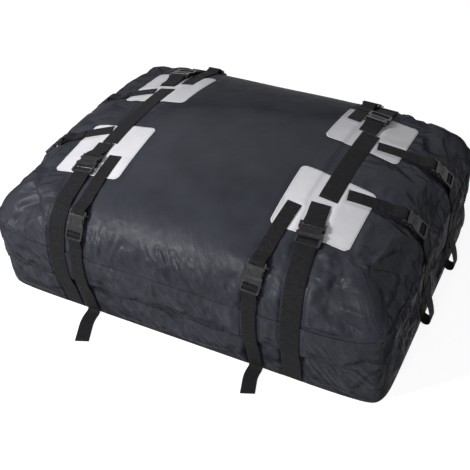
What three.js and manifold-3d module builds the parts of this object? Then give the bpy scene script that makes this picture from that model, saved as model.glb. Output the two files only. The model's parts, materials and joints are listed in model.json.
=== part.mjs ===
// Roof cargo bag: a stuffed soft bag with a storm flap over its zip, four grip patches on the
// lid and twelve webbing straps, each joined by a side release buckle.
// Millimetres, +Z up, +X along the long side, -Y to the front, origin in the middle of the floor.
import * as THREE from 'three';
import { mergeVertices } from 'three/addons/utils/BufferGeometryUtils.js';
import Module from 'manifold-3d';

const wasm = await Module();
wasm.setup();

// Driving dimensions of the stuffed bag
const BAG_LENGTH = 1118;
const BAG_WIDTH = 876;
const FLOOR_LENGTH = 1144;
const FLOOR_WIDTH = 816;
const WIDEST_HEIGHT = 168;
const SHOULDER_HEIGHT = 333;
const CROWN_RISE = 99;
const PLAN_SQUARENESS = 12;
const FLOOR_SQUARENESS = 14;
const SHOULDER_SQUARENESS = 3.6;
const TUCK_POWER = 1.3;

// Storm flap and the zip it hides
const FLAP_TOP = 226;
const FLAP_DROP = 94;
const FLAP_HEM = 16;
const CLOTH_THICKNESS = 1.4;
const ZIP_DEPTH = 1.2;
const ZIP_WIDTH = 10;
const ZIP_HEIGHT = 197;
const SLIDER_DEPTH = 1.6;
const SLIDER_LENGTH = 16;
const SLIDER_SPACING = 30;
const SLIDER_OVERHANG = 1;
const PULL_LENGTH = 20;
const PULL_WIDTH = 8;

// Clearances
const SEAT_GAP = 0.5;
const LAYER_GAP = 0.5;
const MOUTH_GAP = 0.4;

// Grip patches on the lid
const PATCH_LENGTH = 204;
const PATCH_WIDTH = 212;
const PATCH_CENTRE_X = 318;
const PATCH_CENTRE_Y = 180;
const PATCH_CORNER = 16;
const PATCH_THICKNESS = 1.2;

// Webbing
const WEB_THICKNESS = 1.4;
const WIDE_WEB = 50;
const NARROW_WEB = 38;
const TOP_STRAP_OVERLAP = 86;
const WIDE_STUB_SETBACK = 104;
const NARROW_STRAP_SETBACK = 78;
const SIDE_STRAP_SETBACK = 56;
const SEWN_RETURN = 34;
const LANE_STEP = 8;
const ROW_TOLERANCE = 0.22;
const HEM_HEIGHT = 5;
const BUCKLE_LEAD = 24;

// How far round a patch and the flap the webbing takes to come down to the cloth
const PATCH_STEP_START = 12;
const PATCH_STEP_END = 36;
const FLAP_STEP_START = 2;
const FLAP_STEP_END = 26;
const HEM_STEP_START = 38;
const HEM_STEP_END = 8;

// How the slack loops lie on the floor
const FLOOR_BEND = 14;
const LOOP_SKEW = 22;
const NEST_LOW = 30;
const NEST_HIGH = 70;

// Side release buckles
const SLOT = 7;
const BAR = 4.5;
const HOUSING_THICKNESS = 10.4;
const HOUSING_LIFT = 0.8;
const HOUSING_WALL = 1.9;
const SIDE_WALL = 2.2;
const POCKET_WALL = 2.5;
const RAIL_OVERLAP = 4;
const WINDOW_BACK = 5;
const WINDOW_FRONT = 7;
const RAIL_LOW = 4;
const RAIL_THICKNESS = 4.6;
const CROSSBAR_THICKNESS = 1.4;
const SLOT_MARGIN = 1;
const PRONG_WIDTH = 5;
const PRONG_GAP = 2;
const PRONG_ROOT = 6;
const CATCH_DEPTH = 1.5;
const CATCH_LENGTH = 3;
const CATCH_SETBACK = 8;
const WIDE_BUCKLE = { web: WIDE_WEB, width: 65, socket: 40, neck: 6, tongue: 9.3 };
const NARROW_BUCKLE = { web: NARROW_WEB, width: 50, socket: 43, neck: 12, tongue: 7.2 };
const FRAME_CORNER = 3;
const HOUSING_CORNER = 2;

// Each strap's distance from the bag's middle line where it is sewn on, the length of it from
// there to its buckle, and how far it leans from square in degrees
const CORNERS = [
  {
    name: 'front_right', end: 1, face: -1, loopReach: 80,
    wide: { at: 309, length: 72, lean: 7 },
    narrow: { at: 250, length: 184, lean: -4 },
    side: { at: 117, length: 141, lean: 12 },
  },
  {
    name: 'front_left', end: -1, face: -1, loopReach: 108,
    wide: { at: 326, length: 40, lean: 0 },
    narrow: { at: 268, length: 188, lean: -1 },
    side: { at: 100, length: 144, lean: 15 },
  },
  {
    name: 'back_right', end: 1, face: 1, loopReach: 70,
    wide: { at: 306, length: 36, lean: 0 },
    narrow: { at: 250, length: 142, lean: 0 },
    side: { at: 118, length: 148, lean: 13 },
  },
  {
    name: 'back_left', end: -1, face: 1, loopReach: 70,
    wide: { at: 336, length: 66, lean: 0 },
    narrow: { at: 281, length: 178, lean: 0 },
    side: { at: 140, length: 144, lean: 14 },
  },
];
const WIDE_TAIL = 74;
const SIDE_TAIL = 60;
const SIDE_LOOP_TOP = 128;
const SIDE_LOOP_OPEN = 26;

// Finishes
const FABRIC = new THREE.MeshStandardMaterial({ color: 0x4b4d57, roughness: 0.55, metalness: 0 });
const PATCH = new THREE.MeshStandardMaterial({ color: 0xc9c6d6, roughness: 0.75, metalness: 0 });
const WEBBING = new THREE.MeshStandardMaterial({ color: 0x2e2f33, roughness: 0.85, metalness: 0 });
const PLASTIC = new THREE.MeshStandardMaterial({ color: 0x1c1d20, roughness: 0.4, metalness: 0 });
const ZIP_TAPE = new THREE.MeshStandardMaterial({ color: 0x232428, roughness: 0.8, metalness: 0 });
const ZIP_METAL = new THREE.MeshStandardMaterial({ color: 0x6f7074, roughness: 0.35, metalness: 0.9 });

const UP = new THREE.Vector3(0, 0, 1);
const BISECTIONS = 44;
const LANE_SAMPLES = 420;
const LANE_SWEEP = 0.63 * Math.PI;
const LONGEST_MITRE = 1.5;
const group = new THREE.Group();

// Adds one named piece to the bag
function addPiece(name, geometry, material) {
  const mesh = new THREE.Mesh(geometry, material.clone());
  mesh.name = name;
  group.add(mesh);
  return mesh;
}

// Eases from 0 to 1 as a value runs between two limits
function ramp(value, from, to) {
  return THREE.MathUtils.clamp((value - from) / (to - from), 0, 1);
}

// Measures how full the bag is at a point: under 1 inside its skin, over 1 outside
function fullness(x, y, z) {
  const tuck = Math.pow(1 - ramp(z, 0, WIDEST_HEIGHT), TUCK_POWER);
  const halfX = THREE.MathUtils.lerp(BAG_LENGTH, FLOOR_LENGTH, tuck) / 2;
  const halfY = THREE.MathUtils.lerp(BAG_WIDTH, FLOOR_WIDTH, tuck) / 2;
  const squareness = THREE.MathUtils.lerp(PLAN_SQUARENESS, FLOOR_SQUARENESS, 1 - ramp(z, 0, WIDEST_HEIGHT));
  const plan = Math.pow(Math.abs(x) / halfX, squareness) + Math.pow(Math.abs(y) / halfY, squareness);
  const domeX = Math.max(0, 1 - (x / halfX) ** 2);
  const domeY = Math.max(0, 1 - (y / halfY) ** 2);
  const rise = SHOULDER_HEIGHT + CROWN_RISE * domeX * domeY - WIDEST_HEIGHT;
  return plan + Math.pow(Math.max(0, z - WIDEST_HEIGHT) / rise, SHOULDER_SQUARENESS);
}

// Finds where a ray from inside the bag meets its skin
function skinPoint(origin, direction) {
  let inner = 0;
  let outer = BAG_LENGTH + BAG_WIDTH;
  const point = new THREE.Vector3();
  for (let step = 0; step < BISECTIONS; step += 1) {
    const middle = (inner + outer) / 2;
    point.copy(origin).addScaledVector(direction, middle);
    if (fullness(point.x, point.y, point.z) < 1) inner = middle;
    else outer = middle;
  }
  return point.copy(origin).addScaledVector(direction, inner);
}

// Gives the outward direction of the skin at a point on it
function skinNormal(point) {
  const reach = 0.5;
  const { x, y, z } = point;
  return new THREE.Vector3(
    fullness(x + reach, y, z) - fullness(x - reach, y, z),
    fullness(x, y + reach, z) - fullness(x, y - reach, z),
    fullness(x, y, z + reach) - fullness(x, y, z - reach),
  ).normalize();
}

// Turns corner points and four-sided faces into a closed solid that faces outwards
function solidFromQuads(points, quads) {
  const index = quads.flatMap(([a, b, c, d]) => [a, b, c, a, c, d]);
  let volume = 0;
  for (let i = 0; i < index.length; i += 3) {
    const [p, q, r] = [points[index[i]], points[index[i + 1]], points[index[i + 2]]];
    volume += p.dot(new THREE.Vector3().crossVectors(q, r));
  }
  if (volume < 0) index.reverse();
  const geometry = new THREE.BufferGeometry().setFromPoints(points);
  geometry.setIndex(index);
  return geometry;
}

// Closes a stack of rings, all with the same number of points, with a middle point at each end
function solidFromRings(rings, firstMiddle, lastMiddle) {
  const count = rings[0].length;
  const points = [...rings.flat(), firstMiddle, lastMiddle];
  const quads = [];
  const index = [];
  for (let ring = 0; ring + 1 < rings.length; ring += 1) {
    for (let i = 0; i < count; i += 1) {
      const next = (i + 1) % count;
      const low = ring * count;
      quads.push([low + i, low + next, low + count + next, low + count + i]);
    }
  }
  const geometry = solidFromQuads(points, quads);
  index.push(...geometry.getIndex().array);
  const first = points.length - 2;
  const top = (rings.length - 1) * count;
  for (let i = 0; i < count; i += 1) {
    const next = (i + 1) % count;
    index.push(first, next, i);
    index.push(first + 1, top + i, top + next);
  }
  geometry.setIndex(index);
  return geometry;
}

// Lists directions round the bag, closer together towards its four corners
function planDirections(sideSteps, endSteps) {
  const directions = [];
  const bend = (step, steps) => Math.sin((Math.PI / 2) * ((2 * step) / steps - 1));
  const halfX = BAG_LENGTH / 2;
  const halfY = BAG_WIDTH / 2;
  for (let i = 0; i < sideSteps; i += 1) directions.push([bend(i, sideSteps) * halfX, -halfY]);
  for (let i = 0; i < endSteps; i += 1) directions.push([halfX, bend(i, endSteps) * halfY]);
  for (let i = 0; i < sideSteps; i += 1) directions.push([-bend(i, sideSteps) * halfX, halfY]);
  for (let i = 0; i < endSteps; i += 1) directions.push([-halfX, -bend(i, endSteps) * halfY]);
  return directions;
}

const AROUND = planDirections(15, 12);

// Walks once round the bag at one height, standing off its skin
function belt(height, standoff) {
  const origin = new THREE.Vector3(0, 0, height);
  return AROUND.map(([x, y]) => {
    const point = skinPoint(origin, new THREE.Vector3(x, y, 0).normalize());
    return point.addScaledVector(skinNormal(point).setZ(0).normalize(), standoff);
  });
}

// Builds the stuffed bag as one solid, with a flat floor and a crowned lid
function bagBody() {
  const wallSteps = 4;
  const lidSteps = 18;
  const evenShare = 0.35;
  const rings = [];
  for (let i = 0; i < wallSteps; i += 1) rings.push(belt((WIDEST_HEIGHT * i) / wallSteps, 0));
  const core = new THREE.Vector3(0, 0, WIDEST_HEIGHT);
  for (let i = 0; i < lidSteps; i += 1) {
    const spread = (2 * i) / lidSteps - 1;
    const climb = (Math.PI / 4) * (1 + evenShare * spread + (1 - evenShare) * spread ** 3);
    const rise = (SHOULDER_HEIGHT - WIDEST_HEIGHT) * Math.sin(climb);
    rings.push(AROUND.map(([x, y]) => {
      const direction = new THREE.Vector3(x * Math.cos(climb), y * Math.cos(climb), rise);
      return skinPoint(core, direction.normalize());
    }));
  }
  return solidFromRings(rings, new THREE.Vector3(), skinPoint(core, UP));
}

// Builds a band right round the bag from its outline of heights and standoffs
function bandAround(outline) {
  const rings = outline.map(([height, standoff]) => belt(height, standoff));
  const count = AROUND.length;
  const quads = [];
  for (let ring = 0; ring < rings.length; ring += 1) {
    const nextRing = (ring + 1) % rings.length;
    for (let i = 0; i < count; i += 1) {
      const next = (i + 1) % count;
      quads.push([ring * count + i, ring * count + next, nextRing * count + next, nextRing * count + i]);
    }
  }
  return solidFromQuads(rings.flat(), quads);
}

const ZIP_OUTER = SEAT_GAP + ZIP_DEPTH;
const SLIDER_OUTER = ZIP_OUTER + LAYER_GAP + SLIDER_DEPTH;
const FLAP_INNER = SLIDER_OUTER + LAYER_GAP;
const FLAP_OUTER = FLAP_INNER + CLOTH_THICKNESS;
const FLAP_BOTTOM = FLAP_TOP - FLAP_DROP;

// Builds the storm flap: sewn on at its top edge, then hanging clear of the zip
function stormFlap() {
  const free = FLAP_DROP - FLAP_HEM;
  const steps = 2;
  const heights = [];
  for (let i = 0; i <= steps; i += 1) heights.push(FLAP_TOP - FLAP_HEM - (free * i) / steps);
  return bandAround([
    [FLAP_TOP, SEAT_GAP],
    ...heights.map((height) => [height, FLAP_INNER]),
    ...heights.reverse().map((height) => [height, FLAP_OUTER]),
    [FLAP_TOP, SEAT_GAP + CLOTH_THICKNESS],
  ]);
}

// Builds the closed zip chain that runs round under the flap
function zipChain() {
  return bandAround([
    [ZIP_HEIGHT + ZIP_WIDTH / 2, SEAT_GAP],
    [ZIP_HEIGHT - ZIP_WIDTH / 2, SEAT_GAP],
    [ZIP_HEIGHT - ZIP_WIDTH / 2, ZIP_OUTER],
    [ZIP_HEIGHT + ZIP_WIDTH / 2, ZIP_OUTER],
  ]);
}

// Builds one zip slider with its pull hanging down, at the middle of the back
function zipSlider(offset) {
  const half = ZIP_WIDTH / 2 + SLIDER_OVERHANG;
  const outline = new THREE.Shape();
  outline.moveTo(-SLIDER_LENGTH / 2, -half);
  outline.lineTo(-PULL_WIDTH / 2, -half);
  outline.lineTo(-PULL_WIDTH / 2, -half - PULL_LENGTH);
  outline.lineTo(PULL_WIDTH / 2, -half - PULL_LENGTH);
  outline.lineTo(PULL_WIDTH / 2, -half);
  outline.lineTo(SLIDER_LENGTH / 2, -half);
  outline.lineTo(SLIDER_LENGTH / 2, half);
  outline.lineTo(-SLIDER_LENGTH / 2, half);
  outline.closePath();
  const geometry = new THREE.ExtrudeGeometry(outline, { depth: SLIDER_DEPTH, bevelEnabled: false });
  const back = new THREE.Vector3(0, 1, 0);
  const upper = skinPoint(new THREE.Vector3(offset, 0, ZIP_HEIGHT + half), back);
  const lower = skinPoint(new THREE.Vector3(offset, 0, ZIP_HEIGHT - half - PULL_LENGTH), back);
  const lean = Math.atan2(upper.y - lower.y, upper.z - lower.z);
  const seatY = upper.y - half * Math.tan(lean);
  geometry.rotateX(Math.PI / 2 - lean);
  geometry.translate(offset, seatY + SLIDER_OUTER, ZIP_HEIGHT);
  return geometry;
}

// Finds the lid's skin straight above a point of its plan
function lidPoint(x, y) {
  return skinPoint(new THREE.Vector3(x, y, WIDEST_HEIGHT), UP);
}

// Builds one grip patch: a thin sheet with round corners that lies on the lid
function gripPatch(centreX, centreY) {
  const columns = 4;
  const rowOffsets = [];
  const half = PATCH_WIDTH / 2;
  const cornerSteps = 2;
  for (let i = 0; i < cornerSteps; i += 1) {
    rowOffsets.push(half - PATCH_CORNER * (1 - Math.sin((Math.PI / 2) * (1 - i / cornerSteps))));
  }
  const straight = half - PATCH_CORNER;
  const straightSteps = 4;
  for (let i = 0; i <= straightSteps; i += 1) rowOffsets.push(straight * (1 - i / straightSteps));
  const offsets = [...rowOffsets, ...rowOffsets.slice(0, -1).reverse().map((value) => -value)];
  const points = [[], []];
  for (const offset of offsets) {
    const past = Math.max(0, Math.abs(offset) - straight);
    const inset = PATCH_CORNER - Math.sqrt(PATCH_CORNER ** 2 - past ** 2);
    const halfRow = PATCH_LENGTH / 2 - inset;
    for (let i = 0; i <= columns; i += 1) {
      const seat = lidPoint(centreX + halfRow * ((2 * i) / columns - 1), centreY + offset);
      const normal = skinNormal(seat);
      points[0].push(seat.clone().addScaledVector(normal, SEAT_GAP));
      points[1].push(seat.clone().addScaledVector(normal, SEAT_GAP + PATCH_THICKNESS));
    }
  }
  return sheetFromGrids(points[0], points[1], offsets.length, columns + 1);
}

// Closes two like grids of points, one above the other, into a thin sheet
function sheetFromGrids(lower, upper, rows, columns) {
  const quads = [];
  const lift = rows * columns;
  const at = (row, column) => row * columns + column;
  for (let row = 0; row + 1 < rows; row += 1) {
    for (let column = 0; column + 1 < columns; column += 1) {
      const loop = [at(row, column), at(row, column + 1), at(row + 1, column + 1), at(row + 1, column)];
      quads.push(loop.map((corner) => corner + lift));
      quads.push([...loop].reverse());
    }
  }
  const rim = [];
  for (let column = 0; column + 1 < columns; column += 1) rim.push(at(0, column));
  for (let row = 0; row + 1 < rows; row += 1) rim.push(at(row, columns - 1));
  for (let column = columns - 1; column > 0; column -= 1) rim.push(at(rows - 1, column));
  for (let row = rows - 1; row > 0; row -= 1) rim.push(at(row, 0));
  rim.forEach((corner, i) => {
    const next = rim[(i + 1) % rim.length];
    quads.push([corner, next, next + lift, corner + lift]);
  });
  return solidFromQuads([...lower, ...upper], quads);
}

// Where the straps are sewn on, measured over the lid from the bag's middle line
const PATCH_EDGE_Y = PATCH_CENTRE_Y + PATCH_WIDTH / 2;
const PATCH_EDGE_X = PATCH_CENTRE_X + PATCH_LENGTH / 2;
const TOP_STRAP_REACH = PATCH_CENTRE_Y - PATCH_WIDTH / 2 + TOP_STRAP_OVERLAP;
const WIDE_STUB_START = PATCH_EDGE_Y - WIDE_STUB_SETBACK;
const NARROW_STRAP_START = PATCH_EDGE_Y - NARROW_STRAP_SETBACK;
const SIDE_STRAP_START = PATCH_EDGE_X - SIDE_STRAP_SETBACK;

const ON_PATCH = PATCH_THICKNESS + LAYER_GAP;
const ON_FLAP = FLAP_OUTER;

// Gives the height over the skin at which webbing lies: on a patch, over the flap or on the cloth
function coverHeight(point) {
  const outX = Math.abs(Math.abs(point.x) - PATCH_CENTRE_X) - PATCH_LENGTH / 2;
  const outY = Math.abs(Math.abs(point.y) - PATCH_CENTRE_Y) - PATCH_WIDTH / 2;
  const past = ramp(Math.max(outX, outY), PATCH_STEP_START, PATCH_STEP_END);
  const patch = point.z > WIDEST_HEIGHT ? ON_PATCH * (1 - past) : 0;
  const above = 1 - ramp(point.z, FLAP_TOP + FLAP_STEP_START, FLAP_TOP + FLAP_STEP_END);
  const below = ramp(point.z, FLAP_BOTTOM - HEM_STEP_START, FLAP_BOTTOM - HEM_STEP_END);
  return SEAT_GAP + Math.max(patch, ON_FLAP * Math.min(above, below));
}

// A strap's lane: the line in which an upright plane meets the bag, from its lid down to the floor
class Lane {
  constructor(x, y, headingX, headingY) {
    this.heading = new THREE.Vector3(headingX, headingY, 0).normalize();
    this.core = new THREE.Vector3(x, y, WIDEST_HEIGHT);
    this.samples = [];
    this.lengths = [];
    let length = 0;
    for (let i = 0; i <= LANE_SAMPLES; i += 1) {
      const turn = (LANE_SWEEP * i) / LANE_SAMPLES;
      const direction = this.heading.clone().multiplyScalar(Math.sin(turn));
      direction.addScaledVector(UP, Math.cos(turn));
      const point = skinPoint(this.core, direction);
      if (point.z < 0) break;
      if (i > 0) length += point.distanceTo(this.samples[i - 1]);
      this.samples.push(point);
      this.lengths.push(length);
    }
    this.length = length;
  }

  // Gives the skin point, run, cross and outward directions at a length along the lane
  frame(length) {
    const along = THREE.MathUtils.clamp(length, 0, this.length - 0.01);
    let i = this.lengths.findIndex((value) => value > along);
    i = Math.max(1, i);
    const share = (along - this.lengths[i - 1]) / (this.lengths[i] - this.lengths[i - 1]);
    const point = this.samples[i - 1].clone().lerp(this.samples[i], share);
    const normal = skinNormal(point);
    const before = this.samples[Math.max(0, i - 3)];
    const after = this.samples[Math.min(this.samples.length - 1, i + 2)];
    const run = after.clone().sub(before).normalize();
    const across = new THREE.Vector3().crossVectors(normal, run).normalize();
    const outward = new THREE.Vector3().crossVectors(run, across).normalize();
    return { point, run, across, outward };
  }

  // Gives the length along the lane at which it has come down to a height
  lengthAtHeight(height) {
    const i = this.samples.findIndex((point) => point.z < height);
    return i < 0 ? this.length : this.lengths[i];
  }
}

// Places the middle line of webbing on a frame, raised over the skin
function onFrame(frame, lift) {
  const mid = frame.point.clone().addScaledVector(frame.outward, lift + WEB_THICKNESS / 2);
  return { mid, across: frame.across };
}

// Lists the middle line along a lane between two lengths, at a lift that may change on the way
function alongLane(lane, from, to, lift) {
  const steps = Math.max(1, Math.round(Math.abs(to - from) / LANE_STEP));
  const rows = [];
  for (let i = 0; i <= steps; i += 1) {
    const frame = lane.frame(from + ((to - from) * i) / steps);
    rows.push(onFrame(frame, coverHeight(frame.point) + lift(frame)));
  }
  return rows;
}

// Turns a middle line of webbing back on itself through half a circle
function halfTurn(frame, forward, fromLift, toLift, steps) {
  const rows = [];
  const centre = (fromLift + toLift) / 2;
  const radius = (fromLift - toLift) / 2;
  for (let i = 1; i < steps; i += 1) {
    const turn = (Math.PI * i) / steps;
    const row = onFrame(frame, centre + radius * Math.cos(turn));
    row.mid.addScaledVector(frame.run, forward * Math.abs(radius) * Math.sin(turn));
    rows.push(row);
  }
  return rows;
}

// Drops the rows that a straight stretch of webbing doesn't need
function fewestRows(rows) {
  const kept = [rows[0]];
  let from = 0;
  for (let to = 2; to < rows.length; to += 1) {
    const chord = new THREE.Line3(rows[from].mid, rows[to].mid);
    const strays = rows.slice(from + 1, to).some(({ mid }) => {
      return chord.closestPointToPoint(mid, true, new THREE.Vector3()).distanceTo(mid) > ROW_TOLERANCE;
    });
    if (strays) {
      from = to - 1;
      kept.push(rows[from]);
    }
  }
  kept.push(rows[rows.length - 1]);
  return kept;
}

// Sweeps a flat strap along its middle line
function webbing(allRows, width) {
  const rows = fewestRows(allRows);
  const points = [];
  rows.forEach(({ mid, across }, i) => {
    const back = i > 0 ? mid.clone().sub(rows[i - 1].mid).normalize() : null;
    const ahead = i + 1 < rows.length ? rows[i + 1].mid.clone().sub(mid).normalize() : null;
    const run = (back ?? ahead).clone().add(ahead ?? back).normalize();
    const side = new THREE.Vector3().crossVectors(run, across).normalize();
    const mitre = back && ahead ? Math.min(LONGEST_MITRE, 1 / run.dot(ahead)) : 1;
    for (const [sideways, upwards] of [[-1, -1], [1, -1], [1, 1], [-1, 1]]) {
      const corner = mid.clone().addScaledVector(across, (sideways * width) / 2);
      points.push(corner.addScaledVector(side, (upwards * mitre * WEB_THICKNESS) / 2));
    }
  });
  const quads = [];
  for (let row = 0; row + 1 < rows.length; row += 1) {
    for (let i = 0; i < 4; i += 1) {
      const next = (i + 1) % 4;
      quads.push([4 * row + i, 4 * row + next, 4 * row + 4 + next, 4 * row + 4 + i]);
    }
  }
  const last = 4 * (rows.length - 1);
  quads.push([3, 2, 1, 0], [last, last + 1, last + 2, last + 3]);
  return solidFromQuads(points, quads);
}

// Turns a three.js shape into a solid for joining and cutting
function toSolid(geometry) {
  const plain = geometry.clone();
  plain.deleteAttribute('normal');
  plain.deleteAttribute('uv');
  const merged = mergeVertices(plain, 1e-4);
  const mesh = new wasm.Mesh({
    numProp: 3,
    vertProperties: new Float32Array(merged.getAttribute('position').array),
    triVerts: new Uint32Array(merged.getIndex().array),
  });
  return new wasm.Manifold(mesh);
}

// Turns a joined or cut solid back into a three.js shape
function fromSolid(solid) {
  const { vertProperties, triVerts } = solid.asOriginal().getMesh();
  const geometry = new THREE.BufferGeometry();
  geometry.setAttribute('position', new THREE.BufferAttribute(vertProperties, 3));
  geometry.setIndex(new THREE.BufferAttribute(triVerts, 1));
  return geometry;
}

// Makes a plain block from its lowest and highest corners
function block(low, high) {
  const size = high.map((value, i) => value - low[i]);
  const geometry = new THREE.BoxGeometry(...size);
  geometry.translate(...low.map((value, i) => value + size[i] / 2));
  return toSolid(geometry);
}

// Makes a plate with round corners, lying flat between two heights
function plate(from, to, width, corner, low, high) {
  const half = width / 2;
  const outline = new THREE.Shape();
  outline.moveTo(from + corner, -half);
  outline.lineTo(to - corner, -half);
  outline.absarc(to - corner, -half + corner, corner, -Math.PI / 2, 0);
  outline.lineTo(to, half - corner);
  outline.absarc(to - corner, half - corner, corner, 0, Math.PI / 2);
  outline.lineTo(from + corner, half);
  outline.absarc(from + corner, half - corner, corner, Math.PI / 2, Math.PI);
  outline.lineTo(from, -half + corner);
  outline.absarc(from + corner, -half + corner, corner, Math.PI, 1.5 * Math.PI);
  const settings = { depth: high - low, bevelEnabled: false, curveSegments: 2 };
  const geometry = new THREE.ExtrudeGeometry(outline, settings);
  geometry.translate(0, 0, low);
  return toSolid(geometry);
}

const RAIL_HIGH = RAIL_LOW + RAIL_THICKNESS;
const HOUSING_LOW = HOUSING_LIFT;
const HOUSING_HIGH = HOUSING_LIFT + HOUSING_THICKNESS;
const POCKET_LOW = HOUSING_LOW + HOUSING_WALL;
const POCKET_HIGH = HOUSING_HIGH - HOUSING_WALL;
const HOUSING_START = BAR + SLOT;
const POCKET_START = HOUSING_START + POCKET_WALL;

// Lists the places of a plug's slots and bars along the buckle
function ladder(buckle) {
  const start = buckle.socket + MOUTH_GAP;
  const slotOne = start + buckle.neck;
  const crossbar = slotOne + SLOT;
  const slotTwo = crossbar + BAR;
  const endBar = slotTwo + SLOT;
  return { start, slotOne, crossbar, slotTwo, endBar, end: endBar + BAR };
}

// Builds the socket half: a webbing bar, then a hollow housing with a window in each side
function socketSolid(buckle) {
  const slotHalf = buckle.web / 2 + SLOT_MARGIN;
  const pocketHalf = buckle.width / 2 - SIDE_WALL;
  const window = [POCKET_START + WINDOW_BACK, buckle.socket - WINDOW_FRONT];
  const railEnd = HOUSING_START + RAIL_OVERLAP;
  const rails = plate(0, railEnd, buckle.width, FRAME_CORNER, RAIL_LOW, RAIL_HIGH);
  const box = [HOUSING_START, buckle.socket, buckle.width];
  const housing = plate(...box, HOUSING_CORNER, HOUSING_LOW, HOUSING_HIGH);
  const slot = block([BAR, -slotHalf, 0], [BAR + SLOT, slotHalf, HOUSING_HIGH]);
  const pocketLow = [POCKET_START, -pocketHalf, POCKET_LOW];
  const pocket = block(pocketLow, [buckle.socket + 1, pocketHalf, POCKET_HIGH]);
  const windowLow = [window[0], -buckle.width, POCKET_LOW];
  const windows = block(windowLow, [window[1], buckle.width, POCKET_HIGH]);
  return rails.add(housing).subtract(slot).subtract(pocket).subtract(windows);
}

// Draws the plug's tongue and two sprung prongs, which fill the socket with a running gap
function prongOutline(buckle) {
  const outer = buckle.width / 2 - SIDE_WALL - MOUTH_GAP;
  const tip = POCKET_START + MOUTH_GAP;
  const root = buckle.socket + 2;
  const crotch = root - PRONG_ROOT;
  const inner = outer - PRONG_WIDTH;
  const catchEnd = buckle.socket - CATCH_SETBACK;
  const catchStart = catchEnd - CATCH_LENGTH;
  const nose = tip + 4;
  const { tongue } = buckle;
  const outline = new THREE.Shape();
  outline.moveTo(root, -outer);
  outline.lineTo(root, outer);
  outline.lineTo(catchEnd, outer - CATCH_DEPTH);
  outline.lineTo(catchStart, outer);
  outline.lineTo(nose, outer - 1);
  outline.quadraticCurveTo(tip, outer - 3, tip, inner);
  outline.lineTo(crotch, inner - PRONG_GAP);
  outline.lineTo(crotch, tongue);
  outline.lineTo(nose, tongue - CATCH_DEPTH);
  outline.quadraticCurveTo(tip, 0, nose, CATCH_DEPTH - tongue);
  outline.lineTo(crotch, -tongue);
  outline.lineTo(crotch, PRONG_GAP - inner);
  outline.lineTo(tip, -inner);
  outline.quadraticCurveTo(tip, 3 - outer, nose, 1 - outer);
  outline.lineTo(catchStart, -outer);
  outline.lineTo(catchEnd, CATCH_DEPTH - outer);
  outline.closePath();
  return outline;
}

// Builds the plug half: prongs and tongue, then a ladder frame that holds the webbing
function plugSolid(buckle) {
  const places = ladder(buckle);
  const slotHalf = buckle.web / 2 + SLOT_MARGIN;
  const low = POCKET_LOW + MOUTH_GAP;
  const settings = { depth: POCKET_HIGH - POCKET_LOW - 2 * MOUTH_GAP, bevelEnabled: false, curveSegments: 2 };
  const insert = new THREE.ExtrudeGeometry(prongOutline(buckle), settings);
  insert.translate(0, 0, low);
  const frame = plate(places.start, places.end, buckle.width, FRAME_CORNER, RAIL_LOW, RAIL_HIGH);
  const slots = block([places.slotOne, -slotHalf, 0], [places.endBar, slotHalf, HOUSING_HIGH]);
  const barLow = [places.crossbar, -slotHalf - 1, RAIL_LOW];
  const barHigh = [places.slotTwo, slotHalf + 1, RAIL_LOW + CROSSBAR_THICKNESS];
  return frame.subtract(slots).add(block(barLow, barHigh)).add(toSolid(insert));
}

// Seats a buckle on its lane: tangent to the bag at the middle of its length
function buckleSeat(lane, strap, buckle) {
  const length = ladder(buckle).end;
  const middle = lane.frame(strap.buckleStart + length / 2);
  const lift = coverHeight(middle.point) + WEB_THICKNESS;
  const origin = middle.point.clone().addScaledVector(middle.outward, lift);
  origin.addScaledVector(middle.run, -length / 2);
  const matrix = new THREE.Matrix4().makeBasis(middle.run, middle.across, middle.outward);
  matrix.setPosition(origin);
  return { matrix, across: middle.across };
}

// Lists webbing rows given along and above a seated buckle
function onBuckle(seat, route) {
  return route.map(([along, height]) => ({
    mid: new THREE.Vector3(along, 0, height).applyMatrix4(seat.matrix),
    across: seat.across,
  }));
}

const LAYER = WEB_THICKNESS + LAYER_GAP;
const SEWN_BEND = 1.6;

// Builds the sewn strap: from the patch, round the socket's bar and back on top of itself
function upperStrap(lane, strap, from, buckle, seat) {
  const leave = strap.buckleStart - BUCKLE_LEAD;
  const under = RAIL_LOW - LAYER_GAP - WEB_THICKNESS / 2;
  const over = RAIL_HIGH + LAYER_GAP + WEB_THICKNESS / 2;
  const turn = BAR + SLOT / 2;
  const rows = [
    ...alongLane(lane, from, leave, () => 0),
    ...onBuckle(seat, [
      [-BAR / 2, under - LAYER_GAP],
      [BAR, under],
      [turn, under + SEWN_BEND],
      [turn, over - SEWN_BEND],
      [BAR, over],
      [-BAR / 2, over],
    ]),
    ...alongLane(lane, leave, leave - SEWN_RETURN, () => LAYER),
  ];
  return webbing(rows, buckle.web);
}

// Lists the webbing's route through a plug: up from under the end bar, over the crossbar and back
function threading(buckle) {
  const places = ladder(buckle);
  const upper = RAIL_LOW - LAYER_GAP - WEB_THICKNESS / 2;
  const lower = upper - LAYER;
  const over = RAIL_LOW + CROSSBAR_THICKNESS + LAYER_GAP + 1.2 * WEB_THICKNESS;
  const shoulder = over - 1.3 * WEB_THICKNESS;
  const past = places.end + BAR / 2;
  return [
    [past, upper],
    [places.endBar, upper],
    [places.slotTwo + 0.63 * SLOT, upper + 0.6],
    [places.slotTwo + 0.31 * SLOT, shoulder],
    [places.crossbar + BAR / 2, over],
    [places.slotOne + 0.69 * SLOT, shoulder],
    [places.slotOne + 0.49 * SLOT, upper + 0.2],
    [places.slotOne + 0.54 * SLOT, lower + 0.6],
    [places.slotOne + 0.77 * SLOT, lower],
    [places.endBar, lower],
    [past, lower],
  ];
}

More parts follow.
